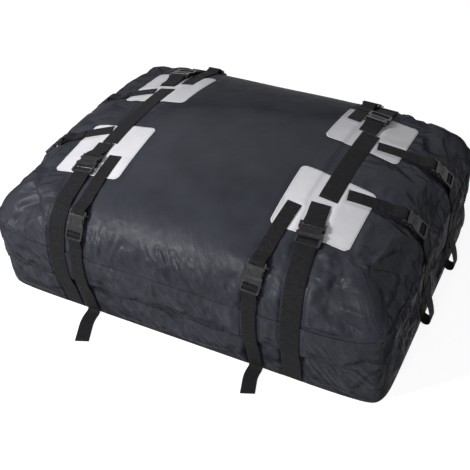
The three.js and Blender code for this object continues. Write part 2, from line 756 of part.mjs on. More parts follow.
// Builds the wide holding strap: a short tail, the buckle, then one run down to the floor's edge
function lowerStrap(lane, strap, buckle, seat) {
  const leave = strap.buckleStart + ladder(buckle).end + BUCKLE_LEAD;
  const foot = lane.lengthAtHeight(HEM_HEIGHT);
  const rows = [
    ...alongLane(lane, leave + WIDE_TAIL, leave, () => LAYER),
    ...onBuckle(seat, threading(buckle)),
    ...alongLane(lane, leave, foot, () => 0),
  ];
  return webbing(rows, buckle.web);
}

// Carries a lane on from the wall, round a bend and out over the floor
function floorFrames(lane, reach, skew) {
  const foot = lane.frame(lane.lengthAtHeight(FLOOR_BEND));
  const frames = [];
  const bendSteps = 4;
  const floorSteps = 5;
  const turned = (share) => new THREE.Quaternion().setFromAxisAngle(UP, skew * share);
  const corner = foot.point.clone().setZ(0);
  for (let i = 1; i <= bendSteps; i += 1) {
    const turn = ((Math.PI / 2) * i) / bendSteps;
    const point = corner.clone().addScaledVector(lane.heading, FLOOR_BEND * (1 - Math.cos(turn)));
    point.z = FLOOR_BEND * (1 - Math.sin(turn));
    frames.push(floorFrame(point, lane.heading, foot.across, turn));
  }
  const point = frames[bendSteps - 1].point.clone();
  for (let i = 1; i <= floorSteps; i += 1) {
    const swing = turned(Math.min(1, (2 * i) / floorSteps));
    const run = lane.heading.clone().applyQuaternion(swing);
    point.addScaledVector(run, reach / floorSteps);
    frames.push(floorFrame(point.clone(), run, foot.across.clone().applyQuaternion(swing), Math.PI / 2));
  }
  return frames;
}

// Makes one frame on the bend or floor, with its run and outward directions turned by an angle
function floorFrame(point, heading, across, turn) {
  const run = heading.clone().multiplyScalar(Math.sin(turn)).addScaledVector(UP, -Math.cos(turn));
  const outward = heading.clone().multiplyScalar(Math.cos(turn)).addScaledVector(UP, Math.sin(turn));
  const flat = across.clone().setZ(across.z * Math.cos(turn)).normalize();
  return { point, run, across: flat, outward };
}

// Builds the narrow strap's long end: a tail, the buckle, then a flat loop that lies on the floor
function floorLoop(lane, strap, buckle, seat, reach, skew) {
  const leave = strap.buckleStart + ladder(buckle).end + BUCKLE_LEAD;
  const foot = lane.lengthAtHeight(FLOOR_BEND + 2);
  const frames = floorFrames(lane, reach, skew);
  const last = frames[frames.length - 1];
  const nest = (frame) => LAYER * (1 - ramp(frame.point.z, NEST_LOW, NEST_HIGH));
  const rows = [
    ...alongLane(lane, foot, leave, (frame) => nest(frame) + LAYER),
    ...onBuckle(seat, threading(buckle)),
    ...alongLane(lane, leave, foot, nest),
    ...frames.map((frame) => onFrame(frame, SEAT_GAP + LAYER)),
    ...halfTurn(last, 1, SEAT_GAP + LAYER, SEAT_GAP, 4),
    ...[...frames].reverse().map((frame) => onFrame(frame, SEAT_GAP)),
    ...alongLane(lane, foot, lane.lengthAtHeight(NEST_LOW), () => 0),
  ];
  return webbing(rows, buckle.web);
}

// Builds the side strap's long end: a tail, the buckle, then a hanging loop that stands open
function hangingLoop(lane, strap, buckle, seat) {
  const leave = strap.buckleStart + ladder(buckle).end + BUCKLE_LEAD;
  const footHeight = SIDE_LOOP_OPEN / 2 + 4 * WEB_THICKNESS;
  const foot = lane.lengthAtHeight(footHeight);
  const top = lane.lengthAtHeight(SIDE_LOOP_TOP);
  const cover = (frame, share) => (coverHeight(frame.point) - SEAT_GAP) * share;
  const open = (frame) => {
    const share = 1 - ramp(frame.point.z, footHeight, SIDE_LOOP_TOP);
    return LAYER + (SIDE_LOOP_OPEN - LAYER) * Math.sin((Math.PI / 2) * share) - cover(frame, share);
  };
  const last = lane.frame(foot);
  const rows = [
    ...alongLane(lane, leave + SIDE_TAIL, leave, () => LAYER),
    ...onBuckle(seat, threading(buckle)),
    ...alongLane(lane, leave, foot, () => 0),
    ...halfTurn(last, 1, SEAT_GAP, SEAT_GAP + SIDE_LOOP_OPEN, 8),
    ...alongLane(lane, foot, top, open),
  ];
  return webbing(rows, buckle.web);
}

// Adds one buckled strap: its sewn strap, socket, plug and long end
function addBuckledStrap(name, lane, plan, from, buckle, longEnd) {
  const strap = { ...plan, buckleStart: from + plan.length };
  const seat = buckleSeat(lane, strap, buckle);
  addPiece(`${name}_strap`, upperStrap(lane, strap, from, buckle, seat), WEBBING);
  addPiece(`${name}_socket`, fromSolid(socketSolid(buckle)), PLASTIC).applyMatrix4(seat.matrix);
  addPiece(`${name}_plug`, fromSolid(plugSolid(buckle)), PLASTIC).applyMatrix4(seat.matrix);
  addPiece(`${name}_${longEnd.name}`, longEnd.build(lane, strap, buckle, seat), WEBBING);
}

// Finds the lane of a strap that runs to the front or back wall
function faceLane(corner, strap, from) {
  const lean = THREE.MathUtils.degToRad(strap.lean);
  const x = corner.end * (strap.at - Math.sin(lean) * from);
  return new Lane(x, 0, corner.end * Math.sin(lean), corner.face * Math.cos(lean));
}

// Finds the lane of a strap that runs to an end wall
function endLane(corner, strap, from) {
  const lean = THREE.MathUtils.degToRad(strap.lean);
  const y = corner.face * strap.at - corner.end * Math.sin(lean) * from;
  return new Lane(0, y, corner.end * Math.cos(lean), corner.end * Math.sin(lean));
}

// Adds the three buckled straps of one corner of the lid
function addCorner(corner) {
  const { name, wide, narrow, side } = corner;
  const skew = THREE.MathUtils.degToRad(LOOP_SKEW);
  const runDown = { name: 'webbing', build: lowerStrap };
  const layFlat = {
    name: 'loop',
    build: (...parts) => floorLoop(...parts, corner.loopReach, skew),
  };
  const hang = { name: 'loop', build: hangingLoop };
  const wideLane = faceLane(corner, wide, WIDE_STUB_START);
  const narrowLane = faceLane(corner, narrow, NARROW_STRAP_START);
  const sideLane = endLane(corner, side, SIDE_STRAP_START);
  addBuckledStrap(`${name}_wide`, wideLane, wide, WIDE_STUB_START, WIDE_BUCKLE, runDown);
  addBuckledStrap(`${name}_narrow`, narrowLane, narrow, NARROW_STRAP_START, NARROW_BUCKLE, layFlat);
  addBuckledStrap(`${name}_side`, sideLane, side, SIDE_STRAP_START, NARROW_BUCKLE, hang);
}

// Builds the strap that is sewn between a front and a back patch, over the crown
function topStrap(x) {
  const front = new Lane(x, 0, 0, -1);
  const back = new Lane(x, 0, 0, 1);
  const rows = alongLane(front, TOP_STRAP_REACH, LANE_STEP, () => 0);
  const mirrored = alongLane(back, LANE_STEP, TOP_STRAP_REACH, () => 0);
  for (const row of mirrored) row.across = row.across.clone().negate();
  return webbing([...rows, ...mirrored], WIDE_WEB);
}

addPiece('bag_body', bagBody(), FABRIC);
addPiece('zip_flap', stormFlap(), FABRIC);
addPiece('zip_chain', zipChain(), ZIP_TAPE);
addPiece('zip_slider_left', zipSlider(-SLIDER_SPACING / 2), ZIP_METAL);
addPiece('zip_slider_right', zipSlider(SLIDER_SPACING / 2), ZIP_METAL);
addPiece('top_strap_left', topStrap(-PATCH_CENTRE_X), WEBBING);
addPiece('top_strap_right', topStrap(PATCH_CENTRE_X), WEBBING);
for (const corner of CORNERS) {
  const patch = gripPatch(corner.end * PATCH_CENTRE_X, corner.face * PATCH_CENTRE_Y);
  addPiece(`grip_patch_${corner.name}`, patch, PATCH);
  addCorner(corner);
}

export default group;
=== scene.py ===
"""Dresses the roof cargo bag: stuffed coated cloth, storm flap, grip patches, webbing and buckles."""
import json
import logging
import math
from dataclasses import dataclass, field
from enum import Enum
from typing import Callable

import bmesh
import bpy
import numpy as np
from mathutils import Matrix, Vector
from mathutils.bvhtree import BVHTree

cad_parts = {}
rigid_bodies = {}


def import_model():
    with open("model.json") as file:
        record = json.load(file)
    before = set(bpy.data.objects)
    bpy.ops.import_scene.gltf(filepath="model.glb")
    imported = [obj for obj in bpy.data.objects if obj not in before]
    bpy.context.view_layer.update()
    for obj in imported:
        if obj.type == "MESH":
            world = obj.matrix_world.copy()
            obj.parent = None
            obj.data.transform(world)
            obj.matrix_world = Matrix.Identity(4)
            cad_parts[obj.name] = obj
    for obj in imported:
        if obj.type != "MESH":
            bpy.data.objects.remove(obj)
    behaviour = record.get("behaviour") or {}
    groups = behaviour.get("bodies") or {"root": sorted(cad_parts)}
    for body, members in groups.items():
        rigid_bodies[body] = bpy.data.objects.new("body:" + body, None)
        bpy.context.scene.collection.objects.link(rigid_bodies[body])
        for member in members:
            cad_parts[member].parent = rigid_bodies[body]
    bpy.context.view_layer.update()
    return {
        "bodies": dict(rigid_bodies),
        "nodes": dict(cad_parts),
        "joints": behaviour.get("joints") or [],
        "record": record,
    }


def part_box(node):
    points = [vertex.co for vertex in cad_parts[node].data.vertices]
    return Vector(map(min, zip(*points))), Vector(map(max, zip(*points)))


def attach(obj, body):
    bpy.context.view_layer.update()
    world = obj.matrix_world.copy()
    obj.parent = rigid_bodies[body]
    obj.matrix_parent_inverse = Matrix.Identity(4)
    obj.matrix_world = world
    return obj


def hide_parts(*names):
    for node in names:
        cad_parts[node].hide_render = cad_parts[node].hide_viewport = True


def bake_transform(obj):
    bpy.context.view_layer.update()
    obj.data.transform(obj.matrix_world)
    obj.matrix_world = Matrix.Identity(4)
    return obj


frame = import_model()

log = logging.getLogger("roof_cargo_bag")

MM = 0.001
UP = np.array([0.0, 0.0, 1.0])

WEB_THICKNESS = 1.4 * MM
SEAT_GAP = 0.5 * MM
LAYER_GAP = 0.5 * MM
LAYER = WEB_THICKNESS + LAYER_GAP
PATCH_THICKNESS = 1.2 * MM
FLAP_STANDOFF = 5.7 * MM
OVER_FLOOR = np.array([-9.0, -9.0, 1e-4])


def ramp(value: np.ndarray, start: float, end: float) -> np.ndarray:
    """Rises evenly from 0 to 1 as a value runs between two limits.

    Args:
        value: The values to read.
        start: The value that gives 0.
        end: The value that gives 1.

    Returns:
        Numbers from 0 to 1.
    """
    return np.clip((np.asarray(value, float) - start) / (end - start), 0.0, 1.0)


def ease(value: np.ndarray, start: float, end: float) -> np.ndarray:
    """Rises smoothly from 0 to 1 as a value runs between two limits."""
    share = ramp(value, start, end)
    return share * share * (3 - 2 * share)


def unit(vectors: np.ndarray) -> np.ndarray:
    """Scales each vector to a length of 1."""
    return vectors / np.maximum(np.linalg.norm(vectors, axis=-1, keepdims=True), 1e-12)


def run_lengths(points: np.ndarray) -> np.ndarray:
    """Gives the length of a line up to each of its points."""
    return np.concatenate([[0.0], np.cumsum(np.linalg.norm(np.diff(points, axis=0), axis=1))])


def sampled(at: np.ndarray, along: np.ndarray, rows: np.ndarray) -> np.ndarray:
    """Reads every column of some rows at lengths between them.

    Args:
        at: The lengths to read at.
        along: The length at which each row lies.
        rows: The rows.

    Returns:
        One row for each length that was asked for.
    """
    return np.stack([np.interp(at, along, column) for column in rows.T], axis=1)


@dataclass(frozen=True)
class BagForm:
    """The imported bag's outer form: a rounded box with a crowned lid and walls that tuck in to the floor."""

    length: float = 1.118
    width: float = 0.876
    floor_length: float = 1.144
    floor_width: float = 0.816
    widest: float = 0.168
    shoulder: float = 0.333
    crown: float = 0.099
    plan_power: float = 12.0
    floor_power: float = 14.0
    shoulder_power: float = 3.6
    tuck_power: float = 1.3

    def fullness(self, points: np.ndarray) -> np.ndarray:
        """Measures how full the bag is at each point.

        Args:
            points: Points in metres, one a row.

        Returns:
            Under 1 inside the skin, over 1 outside.
        """
        x, y, z = points[..., 0], points[..., 1], points[..., 2]
        low = 1 - ramp(z, 0, self.widest)
        tuck = low**self.tuck_power
        half_x = ((1 - tuck) * self.length + tuck * self.floor_length) / 2
        half_y = ((1 - tuck) * self.width + tuck * self.floor_width) / 2
        power = self.plan_power + (self.floor_power - self.plan_power) * low
        plan = np.abs(x / half_x) ** power + np.abs(y / half_y) ** power
        dome = np.clip(1 - (x / half_x) ** 2, 0, None) * np.clip(1 - (y / half_y) ** 2, 0, None)
        rise = self.shoulder + self.crown * dome - self.widest
        return plan + (np.clip(z - self.widest, 0, None) / rise) ** self.shoulder_power

    def cast(self, origins: np.ndarray, directions: np.ndarray) -> np.ndarray:
        """Finds where rays from inside the bag meet its skin.

        Args:
            origins: Where the rays start.
            directions: Which way they go.

        Returns:
            One point on the skin for each ray.
        """
        directions = unit(directions)
        inner = np.zeros(directions.shape[:-1] + (1,))
        outer = np.full_like(inner, self.length + self.width)
        for _ in range(40):
            middle = (inner + outer) / 2
            inside = self.fullness(origins + directions * middle)[..., None] < 1
            inner = np.where(inside, middle, inner)
            outer = np.where(inside, outer, middle)
        return origins + directions * inner

    def normals(self, points: np.ndarray) -> np.ndarray:
        """Gives the outward direction of the skin at points on it."""
        reach = 0.5 * MM
        slope = [
            self.fullness(points + reach * axis) - self.fullness(points - reach * axis) for axis in np.eye(3)
        ]
        return unit(np.stack(slope, axis=-1))

    def belt(self, directions: np.ndarray, height: np.ndarray) -> np.ndarray:
        """Finds the skin at given heights, level with the middle of the bag.

        Args:
            directions: Level directions away from the bag's upright axis.
            height: The height of each point.

        Returns:
            One point on the skin for each direction.
        """
        origins = np.zeros_like(directions)
        origins[..., 2] = height
        return self.cast(origins, directions)


FORM = BagForm()


@dataclass(frozen=True)
class PatchPlan:
    """Where the four grip patches lie on the lid, and their size."""

    length: float = 0.204
    width: float = 0.212
    centre_x: float = 0.318
    centre_y: float = 0.180
    corner: float = 0.016

    def past_edge(self, points: np.ndarray) -> np.ndarray:
        """Measures how far points lie outside the nearest patch, less than 0 inside it."""
        out_x = np.abs(np.abs(points[..., 0]) - self.centre_x) - self.length / 2
        out_y = np.abs(np.abs(points[..., 1]) - self.centre_y) - self.width / 2
        return np.maximum(out_x, out_y)


@dataclass(frozen=True)
class FlapPlan:
    """The storm flap: where it is sewn on and how far it hangs, with the slight wander of each edge."""

    top: float = 0.226
    drop: float = 0.094
    hem: float = 0.016
    wander: float = 0.007

    def top_edge(self, x: np.ndarray, y: np.ndarray) -> np.ndarray:
        """Gives the height of the sewn edge round the bag."""
        return self.top + self.wander * np.sin(7.1 * x + 2.0 * y + 0.6) * np.cos(3.3 * y - 1.9 * x)

    def bottom_edge(self, x: np.ndarray, y: np.ndarray) -> np.ndarray:
        """Gives the height of the hanging edge round the bag."""
        wave = np.sin(9.3 * x - 5.0 * y + 1.1) + 0.5 * np.sin(21.0 * x + 17.0 * y)
        return self.top - self.drop + 0.7 * self.wander * wave


PATCHES = PatchPlan()
FLAP = FlapPlan()


def outward_at(points: np.ndarray) -> np.ndarray:
    """Gives the form's outward directions, with points on the floor read just above it."""
    return FORM.normals(np.maximum(points, OVER_FLOOR))


def cover_height(points: np.ndarray) -> np.ndarray:
    """Gives the height over the skin at which webbing lies: on a patch, over the flap or on the cloth."""
    on_patch = (PATCH_THICKNESS + LAYER_GAP) * (1 - ramp(PATCHES.past_edge(points), 12 * MM, 36 * MM))
    on_patch = np.where(points[..., 2] > FORM.widest, on_patch, 0)
    above = 1 - ramp(points[..., 2], FLAP.top + 2 * MM, FLAP.top + 26 * MM)
    bottom = FLAP.top - FLAP.drop
    below = ramp(points[..., 2], bottom - 38 * MM, bottom - 8 * MM)
    return SEAT_GAP + np.maximum(on_patch, FLAP_STANDOFF * np.minimum(above, below))


class StrapKind(Enum):
    """The three straps that each corner of the lid holds."""

    WIDE = "wide"
    NARROW = "narrow"
    SIDE = "side"


@dataclass(frozen=True)
class BucklePlan:
    """Sizes of one side release buckle, along its strap from the socket's webbing bar."""

    web: float
    width: float
    socket: float
    neck: float
    bar: float = 4.5 * MM
    slot: float = 7.0 * MM
    rail_low: float = 4.0 * MM
    rail_thickness: float = 4.6 * MM
    crossbar_thickness: float = 1.4 * MM
    housing_lift: float = 0.8 * MM
    housing_thickness: float = 10.4 * MM
    mouth_gap: float = 0.4 * MM

    @property
    def start(self) -> float:
        """Where the plug's ladder frame starts."""
        return self.socket + self.mouth_gap

    @property
    def slot_one(self) -> float:
        """Where the first slot starts."""
        return self.start + self.neck

    @property
    def crossbar(self) -> float:
        """Where the crossbar starts."""
        return self.slot_one + self.slot

    @property
    def slot_two(self) -> float:
        """Where the second slot starts."""
        return self.crossbar + self.bar

    @property
    def end_bar(self) -> float:
        """Where the end bar starts."""
        return self.slot_two + self.slot

    @property
    def end(self) -> float:
        """Where the ladder frame ends."""
        return self.end_bar + self.bar

    @property
    def rail_high(self) -> float:
        """The height of the rails' upper face."""
        return self.rail_low + self.rail_thickness

    @property
    def housing_high(self) -> float:
        """The height of the housing's upper face."""
        return self.housing_lift + self.housing_thickness


WIDE_BUCKLE = BucklePlan(web=50 * MM, width=65 * MM, socket=40 * MM, neck=6 * MM)
NARROW_BUCKLE = BucklePlan(web=38 * MM, width=50 * MM, socket=43 * MM, neck=12 * MM)


@dataclass(frozen=True)
class StrapPlan:
    """One strap: its distance from the middle line, its length up to the buckle, and its lean in degrees."""

    at: float
    length: float
    lean: float


@dataclass(frozen=True)
class CornerPlan:
    """The straps of one corner of the lid, and how far its slack loop lies out over the floor."""

    name: str
    end: int
    face: int
    loop_reach: float
    wide: StrapPlan
    narrow: StrapPlan
    side: StrapPlan


CORNERS = (
    CornerPlan(
        "front_right", 1, -1, 0.080,
        wide=StrapPlan(0.309, 0.072, 7), narrow=StrapPlan(0.250, 0.184, -4), side=StrapPlan(0.117, 0.141, 12),
    ),
    CornerPlan(
        "front_left", -1, -1, 0.108,
        wide=StrapPlan(0.326, 0.040, 0), narrow=StrapPlan(0.268, 0.188, -1), side=StrapPlan(0.100, 0.144, 15),
    ),
    CornerPlan(
        "back_right", 1, 1, 0.070,
        wide=StrapPlan(0.306, 0.036, 0), narrow=StrapPlan(0.250, 0.142, 0), side=StrapPlan(0.118, 0.148, 13),
    ),
    CornerPlan(
        "back_left", -1, 1, 0.070,
        wide=StrapPlan(0.336, 0.066, 0), narrow=StrapPlan(0.281, 0.178, 0), side=StrapPlan(0.140, 0.144, 14),
    ),
)

TOP_STRAP_REACH = 0.160
WIDE_STUB_START = 0.182
NARROW_STRAP_START = 0.208
SIDE_STRAP_START = 0.364
SEWN_RETURN = 34 * MM
BUCKLE_LEAD = 24 * MM
HEM_HEIGHT = 5 * MM
WIDE_TAIL = 74 * MM
SIDE_TAIL = 60 * MM
TAIL_HEM = 24 * MM
FLOOR_BEND = 14 * MM
LOOP_SKEW = math.radians(22)
SIDE_LOOP_TOP = 0.128
SIDE_LOOP_OPEN = 26 * MM
NEST_LOW = 30 * MM
NEST_HIGH = 70 * MM
LANE_STEP = 8 * MM


@dataclass
class Frames:
    """Points on a lane, each with its run, cross and outward directions."""

    point: np.ndarray
    run: np.ndarray
    across: np.ndarray
    outward: np.ndarray

    def reversed(self) -> "Frames":
        """The same frames in the other order."""
        return Frames(self.point[::-1], self.run[::-1], self.across[::-1], self.outward[::-1])


@dataclass
class Rows:
    """The middle line of a strap, with its cross direction at each point."""

    mid: np.ndarray
    across: np.ndarray

    @staticmethod
    def joined(parts: list["Rows"]) -> "Rows":
        """Joins stretches of middle line end to end."""
        return Rows(np.concatenate([p.mid for p in parts]), np.concatenate([p.across for p in parts]))


class Lane:
    """A strap's lane: the line in which an upright plane meets the bag, from its lid down to the floor."""

    samples = 840
    sweep = 0.63 * math.pi

    def __init__(self, x: float, y: float, heading_x: float, heading_y: float) -> None:
        """Walks down the skin from above (x, y) along a level heading."""
        self.heading = unit(np.array([heading_x, heading_y, 0.0]))
        self.core = np.array([x, y, FORM.widest])
        turn = np.linspace(0, self.sweep, self.samples + 1)[:, None]
        points = FORM.cast(self.core, self.heading * np.sin(turn) + UP * np.cos(turn))
        below = np.argmax(points[:, 2] < 0) or len(points)
        self.points = points[:below]
        self.lengths = run_lengths(self.points)

    def frames(self, along: np.ndarray) -> Frames:
        """Gives the frames at lengths along the lane."""
        along = np.clip(np.atleast_1d(along), 0, self.lengths[-1] - 1e-5)
        index = np.arange(len(self.points))
        place = np.interp(along, self.lengths, index)
        point = sampled(along, self.lengths, self.points)
        before = np.clip(np.floor(place) - 4, 0, index[-1]).astype(int)
        after = np.clip(np.floor(place) + 5, 0, index[-1]).astype(int)
        run = unit(self.points[after] - self.points[before])
        across = unit(np.cross(FORM.normals(point), run))
        return Frames(point, run, across, unit(np.cross(run, across)))

    def at_height(self, height: float) -> float:
        """Gives the length at which the lane has come down to a height."""
        low = np.flatnonzero(self.points[:, 2] < height)
        return float(self.lengths[low[0]]) if len(low) else float(self.lengths[-1])

    def spacing(self, start: float, end: float) -> np.ndarray:
        """Lists lengths from start to end, a lane step apart."""
        return np.linspace(start, end, max(1, round(abs(end - start) / LANE_STEP)) + 1)

    def nearness(self, points: np.ndarray, start: float) -> tuple[np.ndarray, np.ndarray]:
        """Measures points against the lane.

        Args:
            points: Points on or near the skin.
            start: The length along the lane from which it counts.

        Returns:
            The distance across the lane, and a mask that is 1 past its start and 0 before it.
        """
        side = np.cross(UP, self.heading)
        rest = points - self.core
        begin = self.frames(np.array([start])).point[0] - self.core
        return np.abs(rest @ side), ramp(rest @ self.heading - begin @ self.heading, -6 * MM, 6 * MM)


def raised(frames: Frames, lift: np.ndarray) -> Rows:
    """Places the middle line of webbing on frames, raised over the skin."""
    lift = np.broadcast_to(np.asarray(lift, float), frames.point.shape[:1])[:, None]
    return Rows(frames.point + frames.outward * (lift + WEB_THICKNESS / 2), frames.across)


class StrapRoute:
    """Works out the middle lines of one buckled strap's two lengths of webbing."""

    def __init__(self, lane: Lane, sewn_at: float, plan: StrapPlan, buckle: BucklePlan) -> None:
        """Seats the buckle on its lane, tangent to the bag at the middle of its length."""
        self.lane = lane
        self.sewn_at = sewn_at
        self.buckle = buckle
        self.buckle_start = sewn_at + plan.length
        middle = lane.frames(np.array([self.buckle_start + buckle.end / 2]))
        lift = cover_height(middle.point)[0] + WEB_THICKNESS
        self.run, self.across, self.outward = middle.run[0], middle.across[0], middle.outward[0]
        self.origin = middle.point[0] + self.outward * lift - self.run * buckle.end / 2
        self.leave = self.buckle_start + buckle.end + BUCKLE_LEAD

    def place(self, along: float, sideways: float, height: float) -> np.ndarray:
        """Turns buckle coordinates into a point of the bag."""
        return self.origin + self.run * along + self.across * sideways + self.outward * height

    def on_buckle(self, route: list[tuple[float, float]]) -> Rows:
        """Lists webbing rows given along and above the seated buckle."""
        mid = np.array([self.place(along, 0.0, height) for along, height in route])
        return Rows(mid, np.repeat(self.across[None], len(route), axis=0))

    def on_lane(self, start: float, end: float, lift: Callable[[np.ndarray], np.ndarray]) -> Rows:
        """Lists webbing rows along the lane, at a lift over what covers the skin."""
        frames = self.lane.frames(self.lane.spacing(start, end))
        return raised(frames, cover_height(frames.point) + lift(frames.point))

    def sewn_strap(self) -> Rows:
        """The strap from the patch, round the socket's bar and back on top of itself."""
        b = self.buckle
        start = self.buckle_start - BUCKLE_LEAD
        under = b.rail_low - LAYER_GAP - WEB_THICKNESS / 2
        over = b.rail_high + LAYER_GAP + WEB_THICKNESS / 2
        turn = b.bar + b.slot / 2
        bend = 1.6 * MM
        return Rows.joined([
            self.on_lane(self.sewn_at, start, lambda p: 0),
            self.on_buckle([
                (-b.bar / 2, under - LAYER_GAP), (b.bar, under), (turn, under + bend),
                (turn, over - bend), (b.bar, over), (-b.bar / 2, over),
            ]),
            self.on_lane(start, start - SEWN_RETURN, lambda p: LAYER),
        ])

    def threading(self) -> Rows:
        """The route through the plug: up from under its end bar, over the crossbar and back."""
        b = self.buckle
        upper = b.rail_low - LAYER_GAP - WEB_THICKNESS / 2
        lower = upper - LAYER
        over = b.rail_low + b.crossbar_thickness + LAYER_GAP + 1.2 * WEB_THICKNESS
        shoulder = over - 1.3 * WEB_THICKNESS
        past = b.end + b.bar / 2
        return self.on_buckle([
            (past, upper), (b.end_bar, upper), (b.slot_two + 0.63 * b.slot, upper + 0.6 * MM),
            (b.slot_two + 0.31 * b.slot, shoulder), (b.crossbar + b.bar / 2, over),
            (b.slot_one + 0.69 * b.slot, shoulder), (b.slot_one + 0.49 * b.slot, upper + 0.2 * MM),
            (b.slot_one + 0.54 * b.slot, lower + 0.6 * MM), (b.slot_one + 0.77 * b.slot, lower),
            (b.end_bar, lower), (past, lower),
        ])

    def half_turn(self, frames: Frames, start: float, end: float, steps: int) -> Rows:
        """Turns a middle line back on itself through half a circle at the last frame."""
        turn = (np.pi * np.arange(1, steps) / steps)[:, None]
        centre, radius = (start + end) / 2, (start - end) / 2
        lift = centre + radius * np.cos(turn) + WEB_THICKNESS / 2
        mid = frames.point[-1] + frames.outward[-1] * lift + frames.run[-1] * abs(radius) * np.sin(turn)
        return Rows(mid, np.repeat(frames.across[-1:], len(turn), axis=0))

    def tail(self, length: float) -> Rows:
        """A free tail on top of the run below it, with its end folded over and sewn down."""
        end = self.leave + length
        last = self.lane.frames(np.array([end]))
        cover = cover_height(last.point)[0]
        return Rows.joined([
            self.on_lane(end - TAIL_HEM, end, lambda p: 2 * LAYER),
            self.half_turn(last, cover + 2 * LAYER, cover + LAYER, 5),
            self.on_lane(end, self.leave, lambda p: LAYER),
        ])

    def holding_end(self) -> Rows:
        """The wide strap's long end: a short tail, the buckle, then one run down to the floor's edge."""
        foot = self.lane.at_height(HEM_HEIGHT)
        return Rows.joined([
            self.tail(WIDE_TAIL),
            self.threading(),
            self.on_lane(self.leave, foot, lambda p: 0),
        ])

    def floor_frames(self, reach: float) -> Frames:
        """Carries the lane on from the wall, round a bend and out over the floor."""
        foot = self.lane.frames(np.array([self.lane.at_height(FLOOR_BEND)]))
        heading = self.lane.heading
        corner = foot.point[0] * np.array([1, 1, 0])
        across = unit(foot.across[0] * np.array([1, 1, 0]))
        rows: list[tuple[np.ndarray, np.ndarray, np.ndarray, np.ndarray]] = []
        for turn in np.linspace(0, math.pi / 2, 9)[1:]:
            point = corner + heading * FLOOR_BEND * (1 - math.cos(turn))
            point[2] = FLOOR_BEND * (1 - math.sin(turn))
            run = heading * math.sin(turn) - UP * math.cos(turn)
            rows.append((point, run, across, heading * math.cos(turn) + UP * math.sin(turn)))
        point = rows[-1][0]
        steps = 15
        for i in range(1, steps + 1):
            swing = np.array(Matrix.Rotation(LOOP_SKEW * min(1, 2 * i / steps), 3, "Z"))
            run = swing @ heading
            point = point + run * reach / steps
            rows.append((point, run, swing @ across, UP))
        return Frames(*(np.array(column) for column in zip(*rows)))

    def floor_loop(self, reach: float) -> Rows:
        """The narrow strap's long end: a tail, the buckle, then a flat loop that lies on the floor."""
        foot = self.lane.at_height(FLOOR_BEND + 2 * MM)
        frames = self.floor_frames(reach)

        def nest(points: np.ndarray) -> np.ndarray:
            return LAYER * (1 - ramp(points[:, 2], NEST_LOW, NEST_HIGH))

        return Rows.joined([
            self.on_lane(foot, self.leave, lambda p: nest(p) + LAYER),
            self.threading(),
            self.on_lane(self.leave, foot, nest),
            raised(frames, SEAT_GAP + LAYER),
            self.half_turn(frames, SEAT_GAP + LAYER, SEAT_GAP, 6),
            raised(frames.reversed(), SEAT_GAP),
            self.on_lane(foot, self.lane.at_height(NEST_LOW), lambda p: 0),
        ])

    def hanging_loop(self) -> Rows:
        """The side strap's long end: a tail, the buckle, then a hanging loop that stands open."""
        foot_height = SIDE_LOOP_OPEN / 2 + 4 * WEB_THICKNESS
        foot = self.lane.at_height(foot_height)
        top = self.lane.at_height(SIDE_LOOP_TOP)
        last = self.lane.frames(np.array([foot]))

        def opened(points: np.ndarray) -> np.ndarray:
            share = 1 - ramp(points[:, 2], foot_height, SIDE_LOOP_TOP)
            swell = (SIDE_LOOP_OPEN - LAYER) * np.sin(math.pi / 2 * share)
            return LAYER + swell - (cover_height(points) - SEAT_GAP) * share

        return Rows.joined([
            self.tail(SIDE_TAIL),
            self.threading(),
            self.on_lane(self.leave, foot, lambda p: 0),
            self.half_turn(last, SEAT_GAP, SEAT_GAP + SIDE_LOOP_OPEN, 10),
            self.on_lane(foot, top, opened),
        ])


def strap_route(corner: CornerPlan, kind: StrapKind) -> StrapRoute:
    """Finds the lane and buckle seat of one strap.

    Args:
        corner: The corner of the lid that holds it.
        kind: Which of its straps.

    Returns:
        The strap's route.
    """
    plan: StrapPlan = getattr(corner, kind.value)
    lean = math.radians(plan.lean)
    if kind is StrapKind.SIDE:
        y = corner.face * plan.at - corner.end * math.sin(lean) * SIDE_STRAP_START
        lane = Lane(0, y, corner.end * math.cos(lean), corner.end * math.sin(lean))
        return StrapRoute(lane, SIDE_STRAP_START, plan, NARROW_BUCKLE)
    start = WIDE_STUB_START if kind is StrapKind.WIDE else NARROW_STRAP_START
    x = corner.end * (plan.at - math.sin(lean) * start)
    lane = Lane(x, 0, corner.end * math.sin(lean), corner.face * math.cos(lean))
    return StrapRoute(lane, start, plan, WIDE_BUCKLE if kind is StrapKind.WIDE else NARROW_BUCKLE)


ROUTES = {(corner.name, kind): strap_route(corner, kind) for corner in CORNERS for kind in StrapKind}


class GroupMaker:
    """Builds one shader node group, with its sockets made from plain lists."""

    def __init__(self, name: str, inputs: dict[str, object], outputs: dict[str, str]) -> None:
        """Makes the tree and its sockets.

        Args:
            name: The group's name.
            inputs: Each input's default value by its name.
            outputs: Each output's socket type by its name.
        """
        self.tree = bpy.data.node_groups.new(name, "ShaderNodeTree")
        for label, value in inputs.items():
            kind = "NodeSocketFloat" if isinstance(value, float) else "NodeSocketVector"
            if isinstance(value, tuple) and len(value) == 4:
                kind = "NodeSocketColor"
            made = self.tree.interface.new_socket(name=label, in_out="INPUT", socket_type=kind)
            made.default_value = value
        for label, kind in outputs.items():
            self.tree.interface.new_socket(name=label, in_out="OUTPUT", socket_type=kind)
        self.source = self.tree.nodes.new("NodeGroupInput")
        self.sink = self.tree.nodes.new("NodeGroupOutput")


